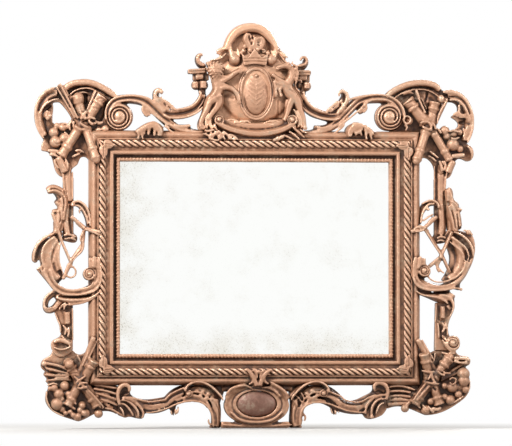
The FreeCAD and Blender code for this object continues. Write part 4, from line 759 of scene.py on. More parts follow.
def dress_top_left_corner():
    """Top corner and trophy on the left."""
    corner = PIECES["corner_top_left"]
    corner.rolls(36, [(62, 91, 6), (66, 87, 6.4), (72, 84.3, 6.6), (80, 83.4, 6.8), (88, 83.6), (96, 86),
        (104, 90, 6.6), (112, 95, 6.4), (117, 98.5, 4)])
    corner.cuts(
        6, [(68, 94, 2), (72, 90.5, 2.2), (78, 88), (86, 87.4), (94, 89.6), (102, 93.5), (109, 98, 2)])
    corner.rolls(29, [(66, 99, 1.6), (69, 94.8, 2), (74, 91.4), (80, 89.6), (87, 89.3), (94, 91.6),
        (101, 95.3), (108, 99.8, 1.6)], 27, [(73, 96.5, 1.6), (77, 94, 2), (82, 93.3), (87, 94, 1.6)])
    corner.cuts(13, [(84.5, 96.6, 5), (84.5, 101, 4), (83.8, 104, 2)],
        6, [(78, 91.3, 2), (84, 90.9, 2.2), (88, 91.5, 1.6)],
        5, [(97, 96, 3), (104, 99, 4), (109, 103, 3)],
        10, [(106, 104, 1.8), (104.6, 110, 2), (103.5, 116), (100, 122)])
    # Horn: its rim, the hollow, the lip and the bud inside
    corner.rolls(36, [(53, 88.8, 2), (48, 90.4, 2.8), (42.5, 93.4, 3.2), (38, 97.8), (34.9, 102.9),
        (33, 108.6, 3), (32.3, 114.5, 2.8), (32.6, 120.5, 2.6), (33.6, 126.5), (35.8, 132.3),
        (38.6, 137, 2.4), (41.2, 140, 1.6)])
    corner.cuts(9, [(51, 94.8, 6), (46, 96.8, 7), (41.7, 100.4), (38.2, 105.6, 5.5), (35.7, 112, 3)])
    corner.rolls(34, [(57, 100.3, 2), (51, 101.2, 2.4), (45.5, 103.7, 2.6), (40.6, 108), (37.2, 114, 2.4),
        (36, 121, 2.2), (37, 128.5), (40.6, 136.5, 1.6)])
    corner.cuts(6, [(47.5, 107, 4), (43, 110.5, 5), (40.6, 116), (40.8, 124, 6), (43, 131, 5)])
    corner.balls((43.6, 116.4, 2.6, 33), (47.2, 117.2, 2.4, 33), (45, 119.8, 2.2, 33))
    corner.rolls(30, [(40, 118.5, 1.4), (41, 114.6, 1.8), (44.3, 112.2), (48.4, 113.6, 1.4)],
        31, [(70.5, 121, 2), (68, 124, 3), (67.2, 128), (69, 132, 2)],
        [(73, 122, 2), (71.5, 126, 2.6), (72.5, 131, 2)], [(60, 125, 2), (63.5, 124.6, 2.6), (66, 127, 2)],
        [(62, 133, 2.4), (65.5, 136, 3), (66, 140.5, 2)], [(45, 151.5, 3.4), (52, 151.8, 4), (59, 153, 3)],
        [(46.5, 155.5, 2.6), (52.5, 156, 3.2), (58, 158.5, 2.2)],
        [(56, 158, 2.4), (60, 163, 3.2), (62, 170, 2.4)],
        [(62, 157.5, 2.4), (65, 163, 3), (66.5, 169, 2.2)],
        [(70, 158, 2.6), (74, 156, 2.8), (79, 154.5, 2.2)],
        [(73, 152, 2.4), (78, 151, 2.8), (83, 153.5, 2)])
    trophy = PIECES["trophy_top_left"]
    trophy.rolls(42, [(57.5, 85, 2.8), (76, 120, 2.4)], 38, [(54, 88, 2.2), (73, 119.5)],
        37, [(60.8, 86.5, 2.4), (67, 97.5, 1.6)], 38, [(85.5, 111, 2), (94.8, 91.5, 2.2)],
        36, [(88.5, 111.5, 1.8), (97.5, 93.5, 2)])
    trophy.ball(76.5, 100, 6, 41, tall=1.1)
    trophy.rolls(46, [(85, 112.5, 3), (82, 116.6, 3.6), (84, 121, 3)],
        44, [(78, 113, 2.6), (80.5, 116.8, 3), (79, 121, 2.6)],
        43, [(84, 120, 2.4), (89, 118.8, 3), (94.5, 120.5, 2)],
        42, [(87, 122, 3), (91, 125.4, 3.4), (95, 124, 2)],
        45, [(78, 124, 2.4), (82, 127, 3), (87, 129, 2)],
        41, [(73, 127, 2.4), (77, 130.4, 3), (83, 131, 2)],
        36, [(94, 122, 3), (98, 124.4, 3.6), (102, 123, 2)])
    trophy.cuts(4, [(96.5, 100, 1.4), (100.5, 99.3, 1.6), (103, 101.8, 1.4)],
        3, [(92, 108.5, 1.4), (98, 110.4, 1.6), (103, 109, 1.4)], 9, [(92.6, 125.6, 2), (92.2, 130)],
        4, [(88.2, 133, 1.6), (91.5, 141, 1.8), (94.5, 149, 1.6)],
        [(50, 140.6, 1.4), (54, 145.4, 1.8), (59, 143.8, 1.6)], 6, [(71.5, 122.5, 2), (71.8, 127, 2.2)])


def dress_top_right_corner():
    """Top corner and trophy on the right."""
    corner = PIECES["corner_top_right"]
    corner.rolls(36, [(387, 97, 4), (391, 92.5, 6), (397, 88.5, 6.4), (404, 85.2, 6.6), (411, 83, 6.8),
        (419, 82), (427, 82.4), (434, 84.4, 6.4), (438.2, 87.2, 5)])
    corner.cuts(6, [(392, 98, 2), (398, 93.5, 2.2), (405, 89.6), (413, 87), (421, 86.2), (429, 87.5),
        (436, 91), (441, 95, 2)])
    corner.rolls(30, [(390, 101, 1.8), (396, 96.7, 2), (403, 92.2), (411, 89.4), (419, 88.5), (427, 89.5),
        (434, 92.7), (440, 97.5)], 28, [(403.5, 94.5, 1.6), (409, 92, 1.8), (414, 92.6, 1.6)])
    corner.cuts(11, [(417.4, 90, 2.4), (418.4, 95.4)],
        13, [(427.4, 91.4, 2.6), (427, 96), (425.5, 100, 2)],
        5, [(430, 97.5, 7), (433, 103), (430, 108, 6)],
        6, [(404, 96.6, 2), (410, 95, 2.2), (415, 96.4, 1.8)])
    corner.rolls(36, [(446, 99.8, 2.4), (441, 108, 2.6), (437.5, 116, 2.4), (436, 124, 2)])
    corner.ball(440.4, 98, 3.2, 38, tall=1.35)
    # Horn: its rim, the hollow, the lip and the flower inside
    corner.rolls(36, [(441.5, 91.2, 2.4), (447, 91, 4.4), (453, 91.6, 4.8), (459, 94.2, 4.6),
        (464, 98.7, 4), (467.5, 104.2, 3.2), (470, 110.2, 2.8), (471.5, 116.5, 2.4), (471.8, 123, 2.2),
        (470.8, 130), (468.4, 137), (465.6, 143, 1.8)])
    corner.cuts(8, [(443, 94.6, 2), (448, 96), (454, 95.9, 2.2), (459.5, 98), (463.5, 102),
        (466.5, 107.5, 2), (468.3, 113)])
    corner.rolls(35, [(448, 99.2, 2.4), (453, 98.8, 2.8), (457.5, 100.2), (461.5, 104, 2.6),
        (464.5, 108.6, 2.4), (467, 114), (468.4, 120, 2)])
    corner.cuts(9, [(459, 121.6, 3), (463, 121.8, 4.4), (467.5, 123.4, 4)])
    corner.rolls(32, [(451.5, 114.8, 2.6), (455, 112.2, 3), (459, 111, 2.6)],
        [(455, 116, 2.4), (459, 113.8, 3), (464, 114.6, 2.6)],
        [(458, 117, 2.4), (462.5, 116, 2.8), (466.5, 118, 2)], [(457.6, 104, 2.6), (458.4, 110, 3)],
        [(461.5, 127, 2), (463, 132, 2.4), (462, 137, 2)],
        [(466, 127, 2.4), (466.6, 133, 2.8), (465, 139, 2)],
        [(466, 144.5, 2), (469.3, 149, 2.6), (470.6, 154, 2.4), (470, 159.5, 1.6)],
        [(450.5, 155.5, 4.6), (457, 154.8, 5), (463.5, 154, 4.2)],
        [(441, 160, 2.6), (444, 164.5, 3), (445.5, 170, 2.2)],
        [(448, 160, 2.6), (451, 164, 3), (452, 168, 2)],
        [(427, 154.5, 2.2), (432, 157.6, 2.6), (436, 161, 2.2)],
        [(428, 150, 2.2), (433, 153.4, 2.8), (438, 157.5, 2)])
    trophy = PIECES["trophy_top_right"]
    trophy.rolls(41, [(417.3, 97, 2), (424.5, 112.8, 2.2)], 37, [(420.8, 97, 1.8), (426.3, 109)],
        40, [(403.5, 119, 2.2), (405.5, 115.9, 2.4), (409, 116.6), (410.3, 120), (408, 123),
        (405, 122.5, 2.2), (403.5, 119.5, 2)])
    trophy.cuts(3, [(402.5, 106, 1.4), (408, 102.6, 1.5), (414, 99.2, 1.4)],
        [(404, 110.6, 1.4), (410, 106.8, 1.6), (416.5, 103.2, 1.4)],
        4, [(429, 110.6, 1.4), (433, 112.4, 1.6), (437, 113.8, 1.4)])
    trophy.rolls(45, [(419, 123, 2.4), (423, 121.4, 3), (428, 122, 2.4)],
        [(426, 121, 2.4), (429.5, 124.5, 3), (430, 129, 2.4)],
        44, [(421, 126, 2.4), (425.5, 128.5, 3), (431, 130, 2.4)],
        42, [(431.5, 122, 2), (433.5, 125.5, 2.6), (434, 129, 2)],
        38, [(405, 124, 2.4), (407, 127, 2.2), (405.5, 130, 1.6)],
        [(434, 128, 2), (438, 129.6, 2.8), (440, 133, 2)],
        36, [(448, 131, 2), (452.5, 129.8, 2.6), (457, 131.5, 2)],
        37, [(449, 137, 2.2), (453.5, 138.4, 2.8), (458, 136.6, 2)])
    trophy.cuts(9, [(420.3, 126, 2), (420.4, 130, 1.8)], 7, [(436, 129.5, 1.8), (440, 136, 2)])


SPRIG_BUD = 38.0


def dress_crest():
    """Crest board, coronet, shield and ribbon."""
    board = PIECES["crest_board"]
    board.ball(256, 86, 37, 30.5, deep=0.15)
    board.rolls(33, [(227.2, 48, 4.4), (230.4, 40.6, 7), (234.8, 34.2, 8.4), (241, 29.8, 9.2),
        (248, 27.8, 9.6), (256, 27.8), (262.4, 30, 9.2), (268, 34.8, 8.4), (273, 41, 7), (277.2, 48, 4.4)])
    board.cuts(1.5, [(233.5, 55, 4), (233.5, 47, 5), (236.5, 40, 6), (241.5, 34.5), (248, 31.8),
        (256, 31.8), (262.5, 35), (267.5, 41), (270, 48, 5), (270.5, 54, 3)])
    board.rolls(30, [(216.5, 52, 3), (220, 50, 4), (225, 48.5, 3)],
        [(226, 53, 2), (222, 57.5, 2.4), (216, 59.8), (210, 60.5, 2)],
        [(281, 52, 2.4), (285, 55, 3), (288, 58, 2)],
        [(277.5, 50.5, 2), (281, 55, 2.2), (284.5, 60), (288, 63, 2)],
        [(234.5, 50.5, 2), (235, 54.5, 3), (234.5, 57)], [(271.5, 50, 2), (272.5, 54, 3), (272, 57)],
        [(205, 65, 2), (207.5, 71, 2.2), (211, 78), (213.5, 85), (213, 92), (209.5, 98, 2)],
        [(295.5, 87, 1.8), (299, 92, 2), (303.5, 97.5)])
    # Leaves between the supporters' feet and the ends of the ribbon
    board.rolls(43, [(208.5, 113.5, 2), (206, 119, 3.6), (205.6, 126, 3.4), (207, 130, 2)],
        [(212, 113, 2), (209.8, 119, 3.6), (210, 126), (212, 131, 2)],
        [(214.5, 124, 2.4), (214.6, 127.6, 3.4), (217, 131.6, 2)],
        [(293, 109, 2), (296.5, 114, 3.2), (298.6, 121, 3.4), (298, 128, 2.6)],
        [(297.5, 110, 2), (300.4, 116, 3), (301.8, 123), (301.6, 129, 2.2)],
        [(294.6, 124, 2.4), (294.4, 128, 3.2), (296.6, 132, 2)])
    # Two husks that hang inside the dome
    board.rolls(36, [(230.4, 45, 2.4, 30), (230.8, 51, 4.4, 33), (232.6, 56.6, 7), (234.8, 60.6, 8.4)],
        [(237.4, 48, 1.8, 29), (238.6, 53, 2.8, 32), (238.8, 58, 3.4, 34)],
        [(275.6, 47, 2.4, 30), (275.4, 52.4, 4.2, 33), (273.6, 57.4, 6.8), (271.4, 61.2, 8.2)],
        [(268.6, 50, 1.8, 29), (267.6, 54.4, 2.8, 32), (267.4, 58.6, 3.4, 34)])
    board.cuts(7, [(229, 60, 2), (231, 64.5, 2.4), (236, 66), (240.5, 63), (241.4, 57, 2)],
        [(266, 59, 2), (267.6, 64.4, 2.2), (272.5, 66.4)],
        9, [(279.5, 53.5, 2), (283, 58.5, 2.6), (286.5, 62, 2)],
        8, [(208.5, 68, 2), (211, 75, 2.2), (214.5, 82), (215.6, 89, 2)],
        4, [(225, 96, 5), (229, 96, 6), (233, 98.5, 4)],
        3, [(278.5, 101, 2), (278.6, 107, 2.4), (279, 114, 2)],
        [(277, 71, 2.4), (282, 71, 3), (287, 71.5, 2.4)],
        8, [(293, 82, 2), (294.5, 88, 2.4), (298.5, 94), (302, 99, 2)])
    board.rolls(36, [(224, 122, 1.8), (231, 120, 2.6), (238, 121, 2)],
        [(230, 124.5, 2), (238, 123, 2.8), (246, 123.5, 2)],
        [(240, 120.5, 2), (247, 121.5, 2.6), (252, 124.5, 2)],
        [(263, 124, 2), (270, 121.5, 2.8), (277, 121.5, 2.6), (283, 123.5, 1.8)],
        [(266, 127, 2), (272, 124.8, 2.4), (279, 125.6, 1.8)])
    board.cuts(8, [(270, 118.8, 1.8), (277, 118.3, 2), (283.5, 118.8, 1.8)])
    coronet = PIECES["coronet"]
    for row in (58.6, 61.6):
        coronet.cut([(243, row + 0.6, 1.2), (254.5, row, 1.4), (266, row + 0.6, 1.2)], 3)
    coronet.balls((247, 37, 3, 29), (252.5, 40.5, 2.6, 29), (248, 42.5, 2.6, 31), (245, 46.5, 2.4, 30),
        (251, 46.5, 2.6, 33), (256.5, 45, 2.6, 32), (259, 40, 3, 30), (262, 46, 2.8, 31),
        (258, 49.5, 2.6, 35), (250, 50.5, 2.6, 36), (264, 51, 2.2, 33), (243.5, 51, 2.2, 33),
        (254, 36.5, 2, 27))
    coronet.rolls(32, [(244.5, 41, 2), (245.6, 35.6, 2.2), (249.8, 34.4), (251, 38.5, 1.8)],
        [(256, 42, 2), (258.3, 37.8, 2.2), (262.5, 39), (262.3, 43, 1.8)])
    coronet.cuts(7, [(251, 43, 2), (251.5, 44.4, 1.8)], [(258.2, 45, 2.2), (259.6, 45.4, 1.8)],
        [(245, 49.8, 2.4), (247.4, 50.2, 2)], [(260, 50.8, 2.2), (264, 51.2, 2)])
    # Shield: a plain sprig
    field = PIECES["shield_field"]
    field.cuts(-1.4, [(256.5, 108, 1.2), (255.5, 98, 1.5), (256.5, 88, 1.4), (256, 78, 1.1)])
    for step in range(6):
        row = 105 - step * 5
        reach = 5 + 2.6 * math.sin(step * math.pi / 5)
        for hand in (-1, 1):
            field.cut([(256, row, 1), (256 + hand * reach * 0.6, row - 2.4, 3),
                       (256 + hand * reach, row - 5.4, 1)], -1.6)
    field.balls((256, 76, 1.6, SPRIG_BUD))
    rim = PIECES["shield_rim"]
    rim.cut(ring(256, 92.3, 16.4, 25.6, 1.7), 4)
    ribbon = PIECES["crest_ribbon"]
    ribbon.volute(218.5, 120.5, 4.8, 1.6, 1.2, 60, -1, 50, 5)
    ribbon.volute(291.5, 120.5, 5, 1.6, 1.2, 120, 1, 50, 5)
    ribbon.balls((211, 136.4, 3, 51), (215.5, 134, 2.6, 51), (219.4, 137.5, 2.8, 51), (224, 134, 2, 51),
        (229, 138.6, 2, 51), (233.6, 140, 2, 51), (277.5, 139, 2.6, 51), (281.5, 137.4, 2.2, 51),
        (274, 140.5, 2, 51))
    ribbon.rolls(50, [(208, 139, 2), (213, 140.6, 2.6), (219, 141.5, 2)],
        [(222, 131.5, 1.8), (226.5, 135.4, 2.8), (231, 140.5, 2)],
        [(217.4, 131, 1.8), (221, 135, 2.8), (224.6, 140.6, 2)],
        [(228.6, 134.8, 1.8), (233.4, 137, 2.6), (238, 140.8, 2)],
        [(203.6, 131.4, 2), (208.6, 131.8, 3.2), (213.6, 130.4, 2)],
        [(201.6, 135, 1.8), (205.6, 135.2, 2.6), (208.4, 137.4, 2)],
        [(283, 135.4, 2), (288, 137.8, 2.8), (294, 141.2, 2)],
        [(288.4, 131.8, 2), (294, 135.4, 3), (299.6, 140.6, 2)],
        [(292.6, 127.8, 2), (297.4, 132.2, 3), (304, 138, 2)],
        [(299.4, 129.6, 2), (302.6, 132, 2.6), (306.4, 133.4, 2)])


# Mane: its middle, its rings as curls, reach and height, and how far each point of a curl
# lies outward across, aside and outward down, with its width and its rise
MANE_PX = (215.5, 70.6)
MANE_RINGS = ((13, 1.26, 46.5), (10, 0.94, 49))
MANE_CURL = ((3.6, 0, 4, 1.9, 1.5), (5.6, 0.7, 5.8, 2.1, 0.5), (6.6, 1.9, 6.9, 1.3, -2))


def dress_supporters():
    """Lion, horse and the finials beside them."""
    lion = PIECES["lion_supporter"]
    column, row = MANE_PX
    lion.ball(column, row, 6, 48, tall=1.1, deep=0.7)
    for curls, reach, crown in MANE_RINGS:
        for turn in range(curls):
            angle = turn * math.tau / curls
            across = reach * math.sin(angle)
            down = -reach * math.cos(angle)
            lion.roll([(column + out * across - aside * down, row + under * down + aside * across, width,
                        crown + rise) for out, aside, under, width, rise in MANE_CURL], crown)
    lion.balls((215.2, 70.2, 3, 51), (213.9, 72.4, 1.8, 53), (216.4, 72.5, 1.8, 52.8),
        (215.1, 74.6, 1.5, 51.4), (212.9, 68.3, 1.2, 51.5), (217.7, 68.3, 1.2, 51.5),
        (240.2, 69.8, 1.5, 45), (241.2, 71.6, 1.5, 45.5), (240, 73.2, 1.4, 45), (237.6, 103, 1.5, 45),
        (239.6, 103.2, 1.5, 45.5))
    lion.rolls(44, [(215, 79, 10), (217, 87, 11), (216.6, 94, 10.4), (212, 100, 8.6)],
        46, [(221, 82, 6), (226, 79.6, 5.4), (230.5, 76.6, 4.8), (234.6, 73.4, 4.4), (239.6, 71.5, 4)],
        [(220, 88.6, 5.8), (226, 88, 5.2), (231.4, 89, 4.8), (235, 92.6, 4.4), (237.4, 97.4, 4),
        (238.6, 101.6, 3.8)],
        [(221, 95, 7), (215, 99, 9.6), (209.4, 103, 8), (206.6, 109, 6), (203.4, 115.4, 5),
        (200.6, 121.4, 4.4), (199.8, 127.6, 4)], 45, [(199.6, 128.6, 3.4), (203.6, 129.4, 3)],
        39, [(219, 99, 4.6), (216.6, 106, 4.8), (213, 112.4, 3.6)])
    lion.cuts(2, [(213.2, 69.8, 1), (214.2, 69.6)], [(216.4, 69.6, 1), (217.4, 69.8)],
        [(213.6, 74, 0.9), (215.1, 73.6, 1), (216.6, 74, 0.9)], 4, [(224, 70, 1.6), (223.6, 75, 1.8)])
    horse = PIECES["horse_supporter"]
    horse.rolls(48, [(277.6, 68, 3.8), (281.6, 66.8, 4.6), (286, 66, 6), (290, 67.4, 7)],
        46, [(290.4, 67, 7.2), (293, 72, 8), (291.6, 78, 9), (288, 83.6, 10)],
        45, [(285, 83, 9.4), (286.4, 89, 10.4), (290.4, 95, 9.8), (295.4, 99.4, 8.8)],
        [(294, 97.4, 8), (297, 103, 6.4), (299.6, 109, 5.2), (303, 116, 4.2), (304.4, 122.6, 3.4),
        (304.8, 127.6)], 46, [(282, 85, 5), (277, 83.2, 4), (273.8, 80.8, 3.4)],
        [(273.6, 81.2, 3), (274.6, 87, 2.8), (275.8, 93.6, 2.6)],
        45, [(282, 87, 4), (279.4, 90.4, 3.4), (280.6, 95.4, 2.8)],
        49, [(288.6, 64.4, 2.2), (288, 61.8, 1.3)], 47, [(291.4, 64.2, 2.2), (292.4, 61.6, 1.3)],
        48, [(292.6, 64.6, 2), (296, 66.8, 2.2), (297.4, 70, 1.3)],
        47, [(294.4, 68.6, 2), (297.4, 72, 2.2), (298, 75.6, 1.3)],
        46, [(295, 73, 2), (297.2, 76.8, 2.2), (297, 80.4, 1.3)],
        45, [(294.4, 77.6, 2), (296, 81.4, 2.2), (295, 85, 1.3)],
        39, [(288, 100, 5), (286.6, 106, 4.4), (288.6, 112.4, 3.2)])
    horse.balls((275.9, 94.4, 1.7, 46), (280.8, 96, 1.8, 46), (305, 128.4, 2.2, 46), (277, 68.6, 2.1, 46))
    horse.cuts(3, [(284.6, 64.8, 1.3), (285.6, 65)], [(276.4, 68.6, 1.2), (280.5, 68.4, 1.3)],
        [(289, 90, 1.6), (293.5, 92.6, 1.8), (297, 97, 1.6)])
    left = PIECES["finial_left"]
    left.rolls(32, [(204.5, 66, 3.4), (199.5, 63.5, 4.4), (197.6, 59), (199.3, 55.6, 4), (202.6, 55, 3)],
        31, [(195.4, 82, 7), (195.2, 88.4)], 34, [(203.4, 81.6, 7.6), (203.4, 88.6)],
        [(189, 70.6, 2.4), (197, 70.2, 2.6), (205, 69.4, 2.4)],
        32, [(189.6, 73.4, 2.2), (197, 73, 2.4), (205, 72.2, 2.2)], 30, [(195.6, 77.6, 6), (203.4, 77)])
    left.cuts(3, [(199.2, 81, 1.2), (199.2, 90)])
    left.rolls(30, [(199.5, 91, 2.6), (200.4, 95, 2.8), (201, 99, 2.4)])
    right = PIECES["finial_right"]
    right.rolls(32, [(300.6, 60.4, 2.6), (302, 57.6, 2.8), (305.4, 57.2, 3), (307.2, 60.2), (306, 63.6),
        (302, 65, 3.2), (298, 66, 3)], 34, [(307.4, 82.4, 7.4), (307.4, 88.4)],
        33, [(301.6, 83, 2.4), (300.6, 80.4), (296.4, 80.4), (294.8, 84), (296.4, 88.6), (300.4, 92.4)],
        34, [(296, 70.8, 2.4), (303, 71, 2.6), (310.6, 71.2, 2.4)],
        32, [(296, 73.8, 2.2), (303, 74, 2.4), (310.6, 74.2, 2.2)], 30, [(299, 77.6, 5.6), (307.4, 78)])
    right.cuts(6, [(297.6, 83, 2.4), (298.2, 86.5, 2)])


def dress_left_side():
    """Posts, scroll, leaf and bow on the left."""
    post = PIECES["upper_post_left"]
    post.rolls(26, [(61.6, 176, 1.6), (61.8, 190), (64, 200)], 27, [(71, 172, 1.8), (71, 200)],
        [(59.8, 167, 2.4), (60.9, 176, 2.2), (62, 188, 2), (63.6, 200, 1.8)],
        26, [(64.6, 164, 8), (66, 176, 9.4), (67, 190, 8.6), (67.6, 202, 7.4)],
        33, [(58.5, 160, 3), (61, 166, 4), (62.5, 171.5, 3)],
        31, [(63.5, 161, 2), (65, 167, 3), (65, 171, 2)],
        29, [(52.5, 160, 2.4), (53.5, 165, 3), (57, 169.5, 2.4)],
        [(66, 204, 5), (64.5, 214, 6), (64.5, 225, 6.4), (66, 234, 6)],
        30, [(61.5, 236, 2), (68, 235, 2.4), (74, 237.5, 2)],
        29, [(62, 239.8, 2), (68.5, 238.6, 2.4), (75, 241, 2)])
    post.cuts(2.5, [(69.4, 172, 1.5), (69.4, 200)],
        4, [(60.5, 173.4, 1.6), (63.5, 174, 1.8), (67, 171, 1.6), (68, 166, 1.4)],
        [(61.2, 214, 1.4), (60.6, 224, 1.6), (62, 232, 1.4)])
    leaf = PIECES["side_leaf_left"]
    leaf.rolls(33, [(61.5, 196, 5), (60, 206, 8), (57.5, 216), (56, 226, 7), (53, 234, 5)])
    leaf.rolls(34, [(61.5, 192.5, 2), (57.5, 189.8, 2.4), (52, 187.9, 2.6), (47.5, 188.6), (44.8, 191.2)],
        36, [(62.5, 198, 2.4), (58.5, 193.8, 2.8), (53, 191.4), (48, 192, 2.6), (45, 193, 2)],
        34, [(62.8, 197, 2.4), (63.8, 205, 2.6), (62.5, 213, 2.4), (61.5, 221, 2)],
        35, [(58.5, 199, 2.6), (60.5, 205, 2.8), (59.8, 212, 2.4), (58.8, 220, 2)],
        33, [(54, 202.4, 2.4), (57.5, 206.5, 2.6), (57.5, 212, 2)],
        32, [(50, 213, 2), (53, 211.6, 2.2), (56, 213, 2), (57.5, 218, 1.8), (57.3, 224, 1.6)],
        [(51, 215, 2), (54, 219, 2.6), (55.5, 226, 2.4), (56.5, 233, 2)],
        31, [(52.8, 222, 2), (53.6, 228, 2.4), (52.5, 233, 2), (48, 236)], bed=LEAF_BED)
    leaf.rolls(36, [(70, 204.5, 2.8), (72.5, 202.4, 3), (77, 202), (81.5, 204.3), (85.3, 208.6),
        (87.7, 214.5, 2.8), (88.8, 221, 2.4), (89, 227, 2)],
        34, [(72, 206.4, 2), (76, 206, 2.4), (80, 208.6, 2.6), (83, 213), (85.5, 219, 2.4),
        (86.5, 225, 2)], 31, [(80, 209.5, 2), (78, 211, 2.4), (78.6, 214, 1.8)],
        34, [(70.5, 217.5, 2.4), (76, 222, 2.6), (82, 227, 2.4)],
        32, [(74, 223, 2), (79, 227.5, 2.2), (82, 230, 2)],
        46, [(83, 229.5, 2.4), (88, 231.2, 2.8), (93, 233, 3), (98.5, 235.2, 2.6), (101, 233, 1.8)])
    leaf.balls((71, 205.4, 2.2, 39), (82, 227.6, 1.8, 40), (84, 230.3, 1.8, 40))
    leaf.cuts(5, [(60.6, 196, 1.2), (61.8, 204, 1.4), (61, 212, 1.2)],
        6, [(57.6, 213, 1.6), (58.4, 218.5, 1.8), (57.8, 223, 1.4)],
        5, [(60, 192.6, 1.1), (54, 189.8, 1.3), (48.5, 190.2, 1.2)],
        [(74, 204.3, 1.2), (79, 205.2, 1.4), (83.3, 208.8), (86.2, 214.5), (87.6, 221, 1.2)])
    bow = PIECES["side_bow_left"]
    bow.rolls(37, [(81.5, 233, 3), (79.5, 239, 3.4), (81.5, 245, 3.6), (79.5, 251.5), (73.5, 257, 3.4),
        (69.5, 261.5, 3.2)])
    bow.cuts(5, [(80.5, 237, 1.2), (80.3, 244, 1.4), (79.8, 250), (74.5, 256), (70, 261, 1.2)])
    bow.rolls(35, [(60.5, 244, 2.6), (64.5, 252, 2.8), (67.5, 259.5), (69.5, 264, 2.4)],
        34, [(66.5, 264, 2.6), (64.5, 270), (62, 276, 2.4), (60.8, 280, 2)])
    bow.roll(ring(69, 272.3, 5.3, 5.5, 2.4, 12), 34)
    scroll = PIECES["side_scroll_left"]
    scroll.rolls(
        34.4, [(54, 238, 6), (48, 245, 12), (45, 254, 15), (46.4, 264, 13), (51, 273, 9), (57, 279, 6)],
        32, [(50, 234, 2.6), (42, 238.5, 3.6), (35.6, 244, 4), (32.2, 251, 3.6), (31, 258, 2.6),
        (31.2, 262.4, 1.6)],
        36, [(53, 237, 2.2), (45.6, 242, 2.6), (40.6, 249, 2.8), (39, 257, 2.6), (40.4, 264, 2),
        (43, 270, 1.6)], 34.5, [(56, 240, 1.8), (50.5, 249, 2), (48, 258), (49, 267, 1.8), (53, 275, 1.4)],
        32.5, [(57, 243, 3), (54, 252, 5), (53, 262, 6), (56, 271, 5)],
        36, [(58.4, 243, 2.2), (56.6, 252, 2.4), (57, 262), (59.6, 270, 2), (62, 276, 1.6)],
        33, [(40, 266, 2.4), (36.5, 268.5, 2.6), (34, 269.6, 1.6)],
        [(38, 268, 2.4), (41, 275.5, 2.6), (46, 282), (51.5, 287.5, 2.4)],
        38, [(99, 266, 2.2, 47), (100.3, 275, 2.4, 49), (99, 284, 2.4, 49), (94, 290.5, 2.4, 46),
        (86, 293.6, 2.4, 40), (75, 295), (63, 294.6), (55, 291.3), (48.5, 285.5, 2.2), (43.5, 277.5, 2),
        (41, 270, 1.8)],
        37, [(92.5, 282.5, 2, 46), (88.5, 286.5, 2, 42), (80, 289, 2.2), (72, 290.4), (63, 289.2),
        (55.5, 285), (50.3, 278, 2), (47.8, 270, 1.8)],
        45, [(97, 265, 6), (97.4, 276, 7), (95, 285), (88.5, 290, 6.4, 40), (80, 292, 6, 36)],
        36, [(95, 285, 5, 44), (88, 289, 5, 40), (80, 291, 5.4), (68, 292.6, 5.6), (60, 291.4),
        (53.5, 287.4, 5.4), (47.6, 281, 5), (44, 274, 4)],
        45, [(88.6, 258, 2.6), (88.6, 262.6, 4), (89.4, 267)],
        47.5, [(93, 256.4, 3), (93, 262, 5.4), (92.4, 268, 5)],
        47, [(97.6, 257.4, 3), (98, 263, 4.4), (97.6, 269, 4)],
        36, [(98.5, 292, 2, 46), (92, 296.6, 2.4, 43), (84, 299.4, 2.4, 38), (73, 300.4), (62, 300),
        (54.5, 298, 2)],
        33, [(97, 294.4, 2, 44), (90.5, 299.4, 2.2, 41), (82, 302.8, 2.2, 36), (73, 304.6, 2),
        (66, 305, 1.8)],
        35, [(52, 291, 2.4), (46.5, 294.5, 3.2), (42.5, 299.5, 3.4), (41.5, 305.5), (43.5, 310),
        (48, 311, 3), (51.5, 308.5, 2.2)], 37, [(41, 306.8, 1.6), (46, 308.4, 1.8), (51, 306.8, 1.6)])
    scroll.volute(88, 274.2, 6.6, 1.5, 1.7, 0, -1, 46, 5)
    scroll.cuts(4, [(52, 264, 4), (53.5, 271, 5), (57, 278, 4)],
        3, [(97, 284, 2.6), (92, 288.4, 2.8), (84, 291.4), (73, 292.8), (63, 292), (55.5, 288.2),
        (49.5, 281.6, 2.6), (45.5, 274, 2.4)], 4, [(95, 270, 2), (95.4, 277, 2.2), (93, 283.6, 2)],
        8, [(98.5, 289.4, 1.8), (91, 294.6, 2), (80, 297.2, 2.2), (68, 297.8), (57, 296.4, 2)])
    post = PIECES["lower_post_left"]
    post.rolls(31, [(57, 310, 2), (60.5, 305.5, 2.4), (64, 302.5, 2)],
        [(62, 310, 2), (63.5, 306, 2.2), (67, 304, 2)], 27, [(65.5, 312, 6.6), (66, 324)],
        29, [(53, 312.5, 2), (55.5, 319, 2.2), (58.3, 326), (58.8, 333, 2)],
        27, [(71, 308, 1.8), (71.2, 322), (71.4, 340)], 30, [(61, 325, 2), (64, 329, 2.6), (63, 335, 2.2)],
        [(67, 327, 2.2), (67.6, 332, 2.6), (66, 337, 2.2)],
        [(60, 335, 2.2), (62.5, 339, 2.6), (66, 341, 2)])
    post.cuts(6, [(58, 309, 1.4), (61, 305.6)], 5, [(64, 308.4, 1.4), (66.5, 308.6)],
        6, [(64.5, 327, 1.6), (67, 326.6)], [(66, 338.5, 1.6), (69, 338.8)])


